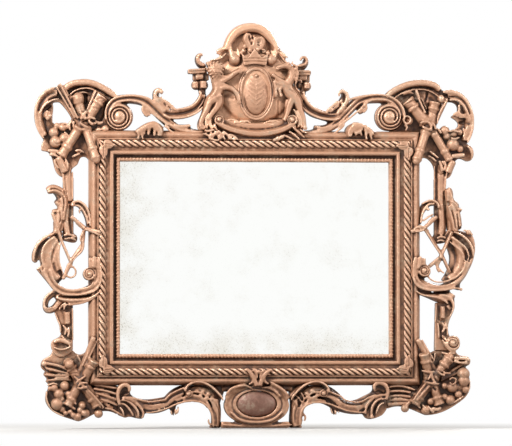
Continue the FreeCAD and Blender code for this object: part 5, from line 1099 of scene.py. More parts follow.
def dress_right_side():
    """Posts, scroll, leaf and bow on the right."""
    post = PIECES["upper_post_right"]
    post.rolls(26, [(433.8, 165, 1.8), (433.8, 200)],
        [(441.4, 164, 8), (440.4, 176, 8.8), (440, 190, 8.4), (440, 202, 7.6)],
        27, [(447.6, 166, 2.2), (445.4, 176, 2), (444.4, 188, 1.8)], 26, [(444.6, 176, 1.6), (444, 190)],
        33, [(438.5, 160, 2.4), (440.5, 166, 3.4), (441, 171, 2.6)],
        [(443, 160, 2.4), (444.5, 165, 3), (443.5, 170, 2.4)],
        31, [(452.5, 160, 3), (450.5, 164.5, 3.4), (447, 169.5, 2.6)],
        29, [(440, 203, 5.4), (440.5, 214, 6.4), (441, 226, 6.6), (440, 234, 6)],
        31, [(436, 238, 2), (440, 236, 2.4), (445, 237.5, 2)],
        29, [(436, 241, 2), (440, 239.6, 2.4), (444, 241, 2)])
    post.cuts(2.5, [(436.6, 165, 1.6), (436.6, 198)],
        4, [(436.6, 170, 1.4), (440, 173.6, 1.8), (444.6, 171, 1.4)],
        5, [(445, 205, 1.4), (446.5, 215, 1.6), (449, 224)])
    leaf = PIECES["side_leaf_right"]
    leaf.rolls(33, [(448, 190, 4), (450.5, 200, 6), (453.5, 212, 8), (455, 222), (454, 231, 6)])
    leaf.rolls(32, [(447.2, 187.2, 2.4), (449, 191, 3), (449.4, 196), (448.5, 200.5, 2.4)],
        34, [(446, 189, 2.2), (446.6, 195, 2.6), (446.8, 201, 2)],
        [(449.5, 200.5, 2.4), (453.5, 203, 3), (456.5, 206, 2.4)],
        33, [(453, 205, 2.4), (457, 208.4, 2.6), (460.6, 209.5, 1.6)],
        35, [(450, 204, 2.4), (452.5, 211, 3), (454.5, 219, 2.8), (455, 227, 2.2)],
        33, [(456.6, 211, 2.2), (457.6, 218, 2.6), (458.6, 226, 2.4)],
        34, [(447.5, 205, 2.2), (449.5, 214, 2.6), (452, 224, 2.4), (452.5, 230, 2)], bed=LEAF_BED)
    leaf.rolls(37, [(421, 204, 2.2), (424.5, 201.6, 2.4), (430, 199.7, 2.6), (434.5, 201, 2.8),
        (437.4, 204.4), (437.4, 208, 2.4)],
        35, [(433.5, 203.4, 2.4), (429, 203.4, 3), (425.5, 206), (422.5, 211), (420.8, 217, 2.8),
        (420, 223, 2.4)], [(426, 206, 2.2), (427.4, 209, 2.4)],
        34, [(432.5, 213.5, 2), (427.5, 216.5, 2.4), (422.5, 220.5, 2.2)],
        [(432.5, 216.5, 2), (429, 220.5, 2.6), (426, 225, 2.2)],
        45, [(412, 230.4, 2.4), (415, 227.4, 3.2), (420, 226.4, 3.6), (425, 227.5, 3)],
        [(411, 232, 2.2), (418, 230.8, 2.8), (423, 229.6, 2.4)])
    leaf.balls((427.4, 208.8, 1.7, 37))
    leaf.cuts(5, [(450.6, 210, 1.4), (453, 219, 1.6), (454, 227, 1.4)],
        6, [(455.8, 214, 1.4), (456.6, 222, 1.6), (457, 230, 1.4)],
        5, [(434.5, 203.2, 1.2), (430, 201.7, 1.4), (425.5, 203.2), (421.8, 207.8)])
    bow = PIECES["side_bow_right"]
    bow.rolls(
        39, [(423.5, 229.5, 2.2), (428.5, 236.5, 2.4), (434, 246), (440, 255), (444, 262), (448, 270, 2)],
        35, [(427, 229, 2), (428, 233.5), (430.5, 238.5, 1.8)],
        37, [(450, 231, 2), (447, 239, 2.2), (443.6, 248), (440, 256)],
        34, [(440.5, 258, 2.2), (437.5, 263, 2.8), (436, 268, 2.6), (438, 272, 2)],
        33, [(434, 262, 2), (436, 266, 2.4), (440, 270.5, 2.2), (443, 273, 1.8)])
    bow.balls((439.6, 256.6, 2, 41))
    scroll = PIECES["side_scroll_right"]
    scroll.balls((467, 231.6, 2.8, 35))
    scroll.rolls(34, [(461.5, 230.4, 2), (464.5, 229.8, 2.6), (468.5, 231.8), (471, 235, 2)],
        33, [(450, 236, 5), (456, 244, 9), (460, 253, 10), (459, 263), (454, 272, 8), (447, 278, 5)],
        36.5, [(452, 231, 2.4), (458, 233.6, 3), (464, 237.6, 3.4), (468.6, 243.4), (471, 250, 3),
        (471.5, 257, 2)],
        36, [(449.6, 236, 1.8), (454.5, 239.4, 2.2), (460, 243.6, 2.4), (464.6, 248.6), (466.8, 255, 2),
        (466, 261, 1.6)],
        35, [(448, 241, 1.6), (452, 244.4, 2), (457, 248.6, 2.2), (461, 253.4, 2), (462.6, 259, 1.6)],
        33, [(470, 258, 2.2), (468, 263, 2.6), (465, 268, 2.2)],
        38, [(463.5, 260, 2), (462.3, 267, 2.2), (458, 273.5, 2.4), (451.5, 278), (444, 281, 2.2),
        (436, 281.6), (429.5, 279), (426, 274.5, 2)],
        36, [(466.5, 265, 2), (463.5, 272.5, 2.2), (458.5, 279, 2.4), (451, 283.5)],
        39, [(411.5, 276, 2.2, 49), (414, 283, 2.4, 49), (419, 287.4, 2.4, 45), (427, 289.6, 2.6, 40),
        (437, 289.8), (447, 288.8, 2.4), (455, 287.6, 2.2), (459.4, 288.8, 2)],
        45, [(414, 264, 6), (413.6, 275, 7), (417, 282.4), (424, 286.6, 6.4, 39), (432, 288, 6, 36)],
        37, [(414, 278, 5, 47), (418, 283.4, 5, 44), (425, 287, 5.4, 40), (434, 288, 5.6),
        (444, 287.4, 5.4), (453, 285.6, 4.6)], 46, [(414.6, 256.6, 3), (413.8, 261.4, 4.4), (413, 267, 4)],
        47, [(419, 255.8, 3), (418.4, 262, 5.6), (417.6, 268.4, 5)],
        44.5, [(423, 257.6, 2.6), (423, 262.4, 4), (421, 267, 3.6)],
        37, [(414.5, 290.4, 2, 46), (420, 294, 2.4, 42), (428, 295.8, 2.6, 38), (437, 297.2, 2.8),
        (443.5, 300.4), (446.5, 303.4, 2)],
        35, [(438, 294.8, 3), (444.5, 295.6, 4), (449.5, 299, 3.6), (452, 304.5, 3), (451, 311, 2.4),
        (448, 317, 2)])
    scroll.balls((459.2, 289, 1.8, 39))
    scroll.volute(423.2, 270.2, 6.4, 1.5, 1.7, 180, 1, 45, 5)
    scroll.cuts(3, [(414, 277, 2.6), (417.5, 282.4, 3), (424, 286, 3.2), (433, 287), (443, 286.4, 3),
        (452, 284, 2.6)],
        7, [(425.5, 278, 1.6), (429, 282, 1.8), (436, 284, 2), (445, 283.2), (453, 279.6, 1.8),
        (459.5, 274, 1.6)],
        8, [(413.5, 287, 1.8), (419, 291, 2), (427, 292.8, 2.2), (437, 293, 2), (447, 291.8, 1.8)],
        4, [(452, 249, 5), (455, 257, 6), (455, 265), (451, 271, 5)], 6, [(448.8, 301, 2.4), (450, 306)])
    post = PIECES["lower_post_right"]
    post.rolls(27, [(435.3, 303, 1.8), (435, 315, 2), (434.4, 322)], 28, [(442, 306, 4.6), (442, 318)],
        31, [(441, 322, 2.4), (443.5, 327, 3), (441, 332, 2.4)],
        29, [(444.5, 321, 2), (446, 328, 2.2), (446.5, 335, 2)],
        [(437, 322, 2), (437.6, 330, 2.4), (438, 338, 2)],
        31, [(441, 335, 2.4), (444, 338.5, 2.8), (447, 341, 2)])
    post.cuts(4, [(438.4, 306, 1.4), (438.4, 320)], 5, [(440, 320.6, 1.4), (444, 321.2, 1.6)],
        6, [(442, 336.6, 1.6), (443.6, 338, 1.4)])


def dress_bottom_left_corner():
    """Bottom corner and trophy on the left."""
    corner = PIECES["corner_bottom_left"]
    corner.rolls(31, [(51.5, 342, 4), (57, 340, 5), (63, 341), (69, 344, 4)],
        33, [(51.5, 347, 2.4), (58, 349.2, 2.6), (65, 348.4), (69.5, 346, 2.2)],
        29, [(72, 372, 2.4), (58, 366, 3.2), (49, 364), (42, 363, 3)],
        27, [(70, 374.5, 2.2), (56, 371, 3), (47, 369, 2.8), (43, 368, 2)],
        [(68, 377, 2.2), (56, 376, 3), (47, 375, 2.8), (42.5, 374.5, 2.2)],
        26, [(68, 380, 2), (57, 379.6, 2.8), (49, 380, 2.6), (44.8, 380.5, 2)],
        28, [(92, 381, 2.2), (104, 381.5, 2.8), (118, 383)],
        [(92, 384.8, 2.2), (105, 386.2, 2.8), (118, 388.5)],
        [(92, 388.6, 2.2), (105, 391, 2.8), (118, 394.2)],
        27, [(94, 393, 2.2), (106, 396, 2.8), (118, 400)],
        26, [(99, 399, 2.2), (108, 401.4, 2.6), (118, 405.4)],
        27, [(104, 408, 2), (112, 409.5, 2.4), (119, 413.3), (124, 416, 2)],
        31, [(45, 385.5, 2.4), (51, 383.6, 2.8), (56, 384.5, 2)],
        29, [(44.8, 391, 2.6), (44.2, 398), (46.4, 404.5, 2.4), (50, 409.6, 2)],
        [(50, 410, 2.2), (56, 413.4, 2.4), (63, 416.4, 2)],
        28, [(75.5, 354.5, 2.2), (78.5, 359, 2.8), (80, 364, 2)])
    corner.balls((41.8, 363.4, 3, 30))
    corner.cuts(5, [(52.5, 346, 1.4), (58, 347.4, 1.6), (65, 346.4, 1.4)],
        4, [(52, 351, 1.6), (59, 352.4, 1.8), (66, 351, 1.6)])
    for shift in (0, 4, 8):
        corner.cut([(96, 383.2 + shift, 1.2), (106, 384.4 + shift, 1.4), (118, 386 + shift * 1.3)], 5)
        corner.cut([(64, 371 + shift * 0.7, 1.2), (54, 368.4 + shift, 1.4), (46, 366.4 + shift * 1.4)], 5)
    trophy = PIECES["trophy_bottom_left"]
    trophy.rolls(46, [(72, 376, 2), (77, 380.4, 2.6), (82, 386.4, 2.4), (86, 388.5, 2)],
        47, [(74, 383, 2), (79, 379.4, 2.6), (84, 376, 2)], [(76, 386, 2), (81, 383, 2.6), (87, 383, 2)],
        46, [(75, 388, 2), (80, 388.4, 2.4), (86, 386, 2)],
        [(93.6, 337, 2), (87, 352, 2.2), (80.5, 366, 2)],
        44, [(97, 338.5, 1.8), (90.5, 352, 2), (83, 367, 1.8)],
        42, [(86, 389, 2), (94, 397, 2.2), (102, 406, 2)],
        40, [(84.5, 390.5, 1.6), (92, 398.5, 1.8), (100, 408, 1.6)],
        47, [(88, 361.5, 1.8), (92, 364.6, 2), (96, 365.6), (97.5, 362.5, 1.6)],
        35, [(66, 399.5, 2.4), (71, 400.5, 3), (75, 404.5, 2)],
        33, [(64, 403, 2), (70, 406.5, 3), (74, 409.5, 2)])
    trophy.balls((67.5, 364, 4.6, 47), (81, 405.5, 3.2, 37), (78.5, 410, 2.8, 35), (83, 413, 3.2, 37),
        (77, 416, 3.2, 35), (72, 415, 2.8, 33), (69, 411.5, 2.4, 31), (64, 413, 2.4, 31),
        (48, 388.5, 2.6, 31), (60.5, 399, 2.4, 33))
    trophy.cuts(6, [(63.5, 358.8, 1.4), (67, 357.8, 1.6), (71, 360), (73.4, 364, 1.4)],
        8, [(86.6, 383, 2), (88.6, 384.5)], 3, [(83, 366.5, 1.2), (88, 364.4, 1.4), (93, 368, 1.2)],
        [(66, 376.5, 1.3), (70.5, 373.4, 1.4), (76, 372.8, 1.3)])


def dress_bottom_right_corner():
    """Bottom corner and trophy on the right."""
    corner = PIECES["corner_bottom_right"]
    corner.volute(451.4, 342.6, 7.4, 2, 1.5, 200, 1, 38, 6)
    corner.rolls(34, [(441, 339, 2.4), (444.5, 345, 3), (449, 350), (455, 350, 2.6)],
        35, [(452, 357.5, 3), (459, 358, 3.4), (465, 358.5, 3.6), (468.4, 360.5, 3)],
        34, [(452, 361, 2.6), (459, 362.5, 3), (466, 363, 2.8)],
        29, [(389, 387, 2.4), (400, 386, 2.8), (410, 388.4, 2.6), (415, 390.4, 2)],
        [(389, 391.6, 2.4), (400, 391, 2.8), (411, 392.8, 2.4)],
        [(389, 396.4, 2.4), (400, 395.8, 2.8), (411, 397, 2.4)],
        28, [(389, 400.4, 2), (400, 399.8, 2.6), (411, 400.6, 2.4)],
        27, [(388, 404.4, 3.4), (398, 404, 4), (409, 403, 3.4)],
        33, [(411, 402.5, 2), (416, 405, 2.4), (420, 408.5, 2)],
        35, [(421, 404.5, 2.4), (424, 408, 3), (425, 413, 2.4)],
        [(427, 406, 2.4), (429.5, 410, 3), (433, 413, 2.4)],
        36, [(431, 408, 3), (436, 409.6, 3.8), (440, 407.5, 3)],
        31, [(449, 404, 2.4), (456, 400.5, 2.6), (462, 396, 2.2)],
        [(466, 393, 2.4), (467.8, 387, 2.6), (467.8, 380, 2.2)],
        30, [(434, 352, 2.2), (433.5, 357, 2.8), (431.5, 363, 2.2)],
        31, [(440, 352, 2.4), (446, 353.6, 3), (454, 353, 2.4)])
    for shift in (0, 4.6, 8.8):
        corner.cut([(389, 389.3 + shift, 1.3), (400, 388.6 + shift, 1.5), (411, 390.6 + shift, 1.3)], 5)
    corner.cuts(4, [(389, 402.4, 1.3), (400, 401.8, 1.5), (410, 401.8, 1.3)])
    trophy = PIECES["trophy_bottom_right"]
    trophy.rolls(48, [(420, 370.5, 2), (426, 372, 2.6), (433, 371.5, 2.2)],
        [(424, 382, 2), (430, 383.6, 2.6), (437, 384, 2)], [(430, 374, 2), (431, 379, 2.6), (434, 384, 2)],
        [(426, 380, 2), (428.5, 376, 2.4), (430, 372.5, 2)],
        44, [(435.5, 371, 2), (439, 374, 2.6), (443, 375.5, 2)],
        42, [(441, 371, 2), (444, 373, 2.6), (449, 373, 2)],
        [(447.5, 380, 1.8), (450, 377.8, 2), (453.5, 379), (453, 383), (449.5, 384.5, 1.8), (447.4, 382)],
        [(424, 384, 2.6), (418, 392, 3), (412.5, 400.5, 2.4)],
        [(428, 386, 2.4), (422, 393, 2.8), (415.5, 401, 2.2)],
        46, [(417, 340, 2), (423.5, 351, 2.2), (430.5, 363, 2)],
        43, [(420.5, 339, 1.8), (426.5, 350, 2), (433, 361, 1.8)])
    trophy.cuts(8, [(418.6, 363, 2), (418.4, 370, 2.4), (418, 380, 2.2)],
        3, [(434, 366, 1.3), (438, 364.6, 1.4), (443, 367.6, 1.3)], 8, [(432, 388, 2.4), (434, 390)])


# Arch of the apron on the left, as paths and heights; the right one is its mirror image
APRON_ARCH = (
    ([(184, 393, 5), (192, 390, 7), (201, 389.6, 8), (209.5, 393.6, 8.4), (215.4, 400.6, 8),
      (218, 409, 7), (218.4, 420, 6)], 28),
    ([(176, 401, 1.8), (184, 397.6, 2.2), (192, 395.6, 2.4), (200, 397, 2.4), (206.8, 402, 2.4),
      (210.8, 409.6, 2.4), (212.6, 418, 2.4), (212.8, 425, 2)], 34),
    ([(190, 391.8, 1.6), (199, 392.4, 1.8), (206.8, 396.6, 1.8), (212, 403.6, 1.8),
      (214.8, 412, 1.8), (215.4, 422, 1.8)], 33))


def dress_apron():
    """Apron scrolls, the frame of the boss and the palmette over it."""
    left = PIECES["apron_scroll_left"]
    left.rolls(38, [(129, 392, 3), (129.3, 387.5, 4), (125.5, 384.8, 5), (120.5, 387), (118, 392.5, 4.4),
        (118, 399, 3.6), (119.5, 405, 3)],
        37, [(122, 397, 2.4), (128, 397.8, 2.8), (135, 402, 3), (141, 408), (143.3, 414, 2.6),
        (141.5, 418.6, 2)],
        39, [(121.5, 400, 2.4), (127, 400.5, 2.8), (133, 405, 3), (137.5, 411), (138.5, 417, 2.4)],
        36, [(121.5, 403.5, 2.2), (125.5, 405, 2.6), (130, 410, 2.8), (133.5, 416, 2.2)],
        34, [(120, 407, 2.4), (123, 411.5, 2.6), (124, 416, 2)],
        37, [(129, 396.6, 2), (137, 399, 2.2), (146, 401.2), (153, 401.4), (160, 400.4), (165, 399.6),
        (168, 396.4), (173, 392.6), (180, 389.4), (184, 388, 2)],
        [(146, 412.6, 2), (156, 411.6, 2.2), (166, 408.6), (175, 404.6, 2.4), (184, 401.8), (193, 401),
        (201, 402.4), (207.6, 407), (211.4, 413), (213, 420, 2.2), (213.4, 427, 2)],
        31, [(171, 410, 2), (171.5, 413.5, 2.2), (173, 415.3, 1.4)],
        32, [(175, 408, 2.2), (175.5, 412, 2.6), (175.5, 415.3, 1.6)],
        31, [(178, 406, 2), (178.5, 410.5), (177.5, 414, 1.4)],
        40, [(184.5, 391, 2.2), (187.5, 385.6, 2.6), (193.5, 382.4, 2.8), (200, 381.8), (207.5, 384.4),
        (214.5, 389.6), (220.5, 396, 2.6), (223, 401, 2)],
        33, [(208.7, 418.5, 2), (208.6, 422, 2.6), (210.5, 425.5, 2)])
    left.volute(188.6, 393.6, 4, 1.5, 1.2, 270, -1, 39, 5)
    left.balls((197, 391.5, 2, 32), (203, 391.5, 2.2, 33), (208.5, 394, 2.2, 33), (194, 396, 2, 34),
        (200, 396.6, 2.4, 34), (206, 398.6, 2.2, 34), (212, 399, 2, 33))
    left.cuts(8, [(121, 396, 2.4), (124, 393, 2.6), (128, 392.8, 2)],
        5, [(125, 399.2, 1.2), (131.5, 402, 1.4), (137, 407), (140, 413, 1.2)],
        [(124, 402.4, 1.2), (129.5, 405.6, 1.4), (134, 411)],
        6, [(143, 403.4, 1.6), (152, 404, 1.8), (160, 403), (166, 402, 1.6), (170, 398, 1.8), (176, 394.6),
        (182, 392.4, 1.6)],
        8, [(190, 387.6, 1.8), (196, 385.1, 2), (203, 385.6, 2.2), (210, 389.2), (215.5, 394, 2),
        (219.5, 399.5, 1.8)], 4, [(212, 408, 1.4), (215.8, 416, 1.6), (216.4, 425, 1.4)],
        [(216, 404, 1.4), (219, 412, 1.6), (219, 423, 1.4)])
    right = PIECES["apron_scroll_right"]
    right.rolls(38, [(374.5, 390, 3), (374.7, 385.5, 4), (378.5, 382.8, 5), (384, 384), (387.5, 388, 4.4),
        (388, 394, 3.6), (386.5, 400, 3)],
        37, [(385, 395, 2.4), (379, 395.6, 2.8), (372.5, 399, 3), (367.5, 405), (365.7, 411, 2.6),
        (366, 414.6, 2)],
        39, [(384, 399, 2.2), (378.5, 399.6, 2.8), (373.5, 404.5, 3), (371.5, 411, 2.8),
        (371.7, 417, 2.4)], 36, [(384.5, 402.5, 2.2), (380, 405, 2.6), (377.5, 410), (376, 414.6, 2)],
        37, [(330.5, 392, 2), (336, 394.4, 2.2), (341, 396.4), (344.5, 399.8), (351, 401.6),
        (357.5, 402.4), (363, 401), (369, 397.6), (376, 394.8, 2)],
        [(366, 412.6, 2), (357, 412.2, 2.2), (347, 410.6), (338.5, 407.6, 2.4), (330, 404.2),
        (320.5, 402.4), (311.5, 403.2), (304.4, 407), (301, 413), (300, 420, 2.2), (300, 426, 2)],
        31, [(331, 408, 2), (332, 412, 2.2), (333.5, 414.3, 1.4)],
        32, [(335, 409.5, 2.2), (336, 413, 2.4), (336.5, 415, 1.4)],
        31, [(338.5, 410.5, 2), (339.5, 413.3, 1.8)],
        40, [(329.3, 392.5, 2.2), (327.5, 387, 2.6), (321.5, 382.6, 2.8), (314.5, 381.6), (307, 383.8),
        (300, 388.6), (293.5, 395.4, 2.6), (290.7, 400.5, 2)],
        33, [(303.5, 413.5, 2), (305.4, 417, 2.6), (304.5, 421.5, 2)],
        35, [(296, 395.5, 1.6), (299.5, 399, 1.8), (301.5, 402.5, 1.4)],
        [(293, 399, 1.6), (296, 403, 1.8), (297.5, 406, 1.4)],
        [(300.5, 392, 1.6), (303, 396, 1.8), (304, 400, 1.4)])
    right.volute(323.4, 393.2, 4.2, 1.5, 1.2, 270, 1, 39, 5)
    right.balls((312.5, 391, 2.4, 33), (306.5, 393.6, 2.2, 33), (317.6, 393, 2, 32), (309, 398, 2.2, 34),
        (315, 397.6, 2.2, 34), (372, 417, 2.2, 40))
    right.cuts(8, [(383.5, 393.5, 2.4), (380, 391.6), (376.5, 392, 2)],
        5, [(380.5, 397.4, 1.2), (375, 400.4, 1.4), (370.5, 406)],
        [(381, 402, 1.2), (377, 405.6, 1.4), (375, 411, 1.2)],
        6, [(332, 394.6, 1.6), (338, 397, 1.8), (341.5, 400.4), (347, 403.8), (356, 405),
        (362, 403.8, 1.6)],
        8, [(324.5, 387.6, 1.8), (318.5, 385, 2), (311, 385.6, 2.2), (304, 389.6), (298.5, 394.4, 2),
        (294, 400, 1.8)], 4, [(297.6, 406, 1.4), (295, 414, 1.6), (294.8, 423, 1.4)],
        [(294, 404, 1.3), (292, 412, 1.4), (292, 420, 1.3)])
    for node, middle in (("apron_scroll_left", 0), ("apron_scroll_right", 514)):
        for path, crown in APRON_ARCH:
            PIECES[node].roll([(abs(middle - column), row, width) for column, row, width in path], crown)
    surround = PIECES["cartouche_frame"]
    surround.rolls(23, [(242, 386, 7), (231, 387.6, 8), (222, 389, 7)],
        [(273, 386, 7), (284, 387.6, 8), (293, 389, 7)],
        36, [(246, 384, 5), (238, 387.4, 7), (231, 392.4), (226.4, 398.6, 5)],
        [(270, 384, 5), (278, 388, 7), (284, 393.4), (288.4, 399, 5)],
        39, [(226, 394, 2.4), (231, 388.8, 2.8), (238, 386.2), (245, 385.6, 2.6), (250, 387.4, 2.2),
        (253, 390, 1.8)],
        [(288, 395, 2.4), (283, 390, 2.8), (277, 386), (271, 382.5, 2.6), (268, 379.5, 2)],
        38, [(262, 388.2, 2), (268, 387.6, 2.6), (275, 391.4), (280, 397, 2.4)],
        39, [(231, 412, 2.6), (238, 418.5, 3), (247, 421.4, 3.2), (257, 422), (267, 421), (275, 418, 3),
        (282, 411.5, 2.6)],
        31, [(222, 424.6, 2), (240, 425.6, 2.2), (257, 426, 2.4), (274, 425.6, 2.2), (292, 424.6, 2)])
    surround.cut(ring(257, 404.4, 25, 16, 1.8), 5)
    palmette = PIECES["apron_palmette"]
    palmette.rolls(
        51, [(243.5, 369.5, 2.4), (248.5, 371, 3), (252.5, 376), (252, 381.5, 2.6), (248, 384.6, 2)],
        [(252, 369, 2.2), (255.5, 373, 2.6), (256.6, 378, 2)],
        [(272, 369.5, 2.4), (267, 371, 3), (263.5, 376), (264.5, 381.5, 2.6), (268, 384, 2)],
        [(264, 369, 2.2), (260.5, 373, 2.6), (259.4, 378, 2)])
    palmette.balls((258, 371.5, 2, 52))


for dress in (dress_top_left_scroll, dress_top_right_scroll, dress_top_left_corner, dress_top_right_corner,
              dress_crest, dress_supporters, dress_left_side, dress_right_side, dress_bottom_left_corner,
              dress_bottom_right_corner, dress_apron):
    dress()


# Mouldings of the main frame, in millimetres: out from the sight edge, and height
RAIL_SECTION = [(11, 22), (15.5, 22), (15.5, 39), (16.3, 41.4), (18.5, 42.6), (21, 42.4), (22.8, 41.2),
                (23.6, 39.4), (24.6, 38.4), (27, 38.2), (31.5, 38.6), (33, 39), (46, 39), (47.5, 40),
                (47.9, 41.6), (49, 42.4), (50.2, 41.6), (50.9, 39), (52, 36.6), (54, 36.8), (56.5, 38.2),
                (59, 38.8), (61.5, 37.8), (64.5, 34.6), (67.2, 30), (69, 25.6), (69.5, 22), (69.5, 0),
                (20, 0), (20, 10), (11, 10)]
SLIP_SECTION = [(0, 22), (0, 28.5), (0.8, 32), (2.4, 34.4), (4.4, 35), (6.2, 34.2), (7.8, 32), (8.8, 29.6),
                (10.4, 28), (12.6, 28), (14.4, 29.6), (15.5, 30.6), (15.5, 22)]
RAIL_CUTS = 300
RAIL_OVER = 80.0
ROPE_OVER = 60.0
CARVED_FROM = 21.0
HAND_WOBBLE = 0.35
WOBBLE_WAVES = ((40.0, 0.6), (150.0, 0.4))
WOBBLE_SEED = 5
MOULDING_ROUNDS = 2
MOULDING_SPAN = 2.4
ROPE_MIDDLE = 39.5
ROPE_SEAT = 39.6
STRANDS = 3
STRAND_OFFSET = 4.5
STRAND_RADIUS = 3.7
STRAND_SIDES = 10
ROPE_LEAD = 46.8
TWIST_MIDDLE = 5.9
TWIST_SPAN = 2.2
LEAD_STEPS = 16
TIP_PITCH = 7.8
TIP_OUT = 4.6
TIP_HEIGHT = 33.2
TIP_SIZE = (2.7, 2.5, 4.2)
SIDES = {"top": (Vector((0, 0, 1)), Vector((1, 0, 0))), "bottom": (Vector((0, 0, -1)), Vector((1, 0, 0))),
         "left": (Vector((-1, 0, 0)), Vector((0, 0, 1))), "right": (Vector((1, 0, 0)), Vector((0, 0, 1)))}
HALF_SIGHT = Vector((SIGHT_RIGHT, 0, SIGHT_TOP))


def sliced(bm, spot, normal):
    """What lies past a plane is cut away, and the cut is closed."""
    bmesh.ops.bisect_plane(bm, geom=bm.verts[:] + bm.edges[:] + bm.faces[:], dist=MERGE / 10,
                           plane_co=spot, plane_no=normal, clear_outer=True)
    bmesh.ops.holes_fill(bm, edges=[edge for edge in bm.edges if edge.is_boundary], sides=0)


def mitred(bm, side):
    """Both ends of a length of moulding cut to the corners of the sight."""
    outward, along = SIDES[side]
    for hand in (-1, 1):
        corner = Vector([(outward + along * hand)[axis] * HALF_SIGHT[axis] for axis in range(3)])
        sliced(bm, corner, along * hand - outward)


def moulding_mesh(bm, side):
    """Wobbled by hand, with its relief marked."""
    bmesh.ops.recalc_face_normals(bm, faces=bm.faces)
    for vert in bm.verts:
        if vert.co.y < -CARVED_FROM * MM:
            waves = (noise.noise_vector(vert.co * wave) * share for wave, share in WOBBLE_WAVES)
            vert.co += sum(waves, Vector()) * HAND_WOBBLE * MM
    mesh = bpy.data.meshes.new(side)
    bm.to_mesh(mesh)
    bm.free()
    mark_relief(mesh, MOULDING_ROUNDS, MOULDING_SPAN * MM)
    return mesh


def section_run(section, side):
    """Length of moulding from its section, out and height in millimetres, with its mitres."""
    outward, along = SIDES[side]
    half_out = abs(outward.dot(HALF_SIGHT))
    reach = abs(along.dot(HALF_SIGHT)) + RAIL_OVER * MM
    bm = bmesh.new()
    start = [bm.verts.new(outward * (half_out + out * MM) - along * reach + Vector((0, -height * MM, 0)))
             for out, height in section]
    face = bm.faces.new(start)
    made = bmesh.ops.extrude_face_region(bm, geom=[face])["geom"]
    bmesh.ops.translate(bm, verts=[part for part in made if isinstance(part, bmesh.types.BMVert)],
                        vec=along * 2 * reach)
    long_edges = [edge for edge in bm.edges if edge.calc_length() > reach]
    bmesh.ops.subdivide_edges(bm, edges=long_edges, cuts=RAIL_CUTS, use_grid_fill=True)
    mitred(bm, side)
    return bm


def twisted_rope(side):
    """Three strands wound round each other, flat behind where they sit on the rail."""
    outward, along = SIDES[side]
    half_out = abs(outward.dot(HALF_SIGHT))
    reach = abs(along.dot(HALF_SIGHT)) + ROPE_OVER * MM
    turns = 2 * reach / (ROPE_LEAD * MM)
    steps = int(turns * LEAD_STEPS)
    lean = 1 if side in ("top", "bottom") else -1
    axis_start = outward * (half_out + ROPE_MIDDLE * MM) - along * reach + Vector((0, -ROPE_SEAT * MM, 0))
    upright = Matrix.Translation(axis_start) @ along.to_track_quat("Z", "Y").to_matrix().to_4x4()
    bm = bmesh.new()
    for strand in range(STRANDS):
        spot = Matrix.Rotation(strand * math.tau / STRANDS, 4, "Z")
        spot = spot @ Matrix.Translation((STRAND_OFFSET * MM, 0, 0))
        circle = bmesh.ops.create_circle(bm, segments=STRAND_SIDES, radius=STRAND_RADIUS * MM,
                                         cap_ends=False, matrix=upright @ spot)["verts"]
        edges = list(dict.fromkeys(edge for vert in circle for edge in vert.link_edges))
        bmesh.ops.spin(bm, geom=circle + edges, cent=axis_start, axis=along, steps=steps,
                       dvec=along * (2 * reach / steps), angle=lean * turns * math.tau)
    mitred(bm, side)
    sliced(bm, (0, -ROPE_SEAT * MM, 0), (0, 1, 0))
    return bm


def mark_twist(mesh, side):
    """Relief of a rope: high on the backs of its strands, low in the grooves between them, so that the
    gilding paints shade in the grooves and rubbed gilding with a painted highlight on the strands.
    """
    outward = SIDES[side][0]
    points = mesh_arrays(mesh)[0]
    out = points @ np.array(outward) - abs(outward.dot(HALF_SIGHT)) - ROPE_MIDDLE * MM
    far = np.hypot(out, points[:, 1] + ROPE_SEAT * MM) / MM
    relief = np.clip((far - TWIST_MIDDLE) / TWIST_SPAN, -1, 1)
    mesh.attributes["relief"].data.foreach_set("value", relief.astype(np.float32))


def leaf_tips(bm, side):
    """Row of small leaf tips carved along the lip of the slip."""
    outward, along = SIDES[side]
    half_out = abs(outward.dot(HALF_SIGHT))
    reach = abs(along.dot(HALF_SIGHT)) + TIP_OUT * MM
    count = round(2 * reach / (TIP_PITCH * MM))
    turned = Matrix((along, outward.cross(along), outward)).transposed().to_4x4()
    sized = Matrix.Diagonal((*[size * MM for size in TIP_SIZE], 1.0))
    for index in range(count):
        centre = (outward * (half_out + TIP_OUT * MM) + along * (reach * (2 * (index + 0.5) / count - 1))
                  + Vector((0, -TIP_HEIGHT * MM, 0)))
        bmesh.ops.create_icosphere(bm, subdivisions=2, radius=1.0,
                                   matrix=Matrix.Translation(centre) @ turned @ sized)


def main_frame():
    """Rail or stile, rope and slip of each side."""
    for side in SIDES:
        name = ("rail_" if side in ("top", "bottom") else "stile_") + side
        rail = moulding_mesh(section_run(RAIL_SECTION, side), name)
        show(name + "_moulding", rail, GILT, [name], "giltwood")
        name = "rope_" + side
        rope = moulding_mesh(twisted_rope(side), name)
        mark_twist(rope, side)
        show(name + "_strands", rope, GILT, [name], "giltwood")
        name = "slip_" + side
        slip = section_run(SLIP_SECTION, side)
        leaf_tips(slip, side)
        show(name + "_leaf_tips", moulding_mesh(slip, name), GILT, [name], "giltwood")


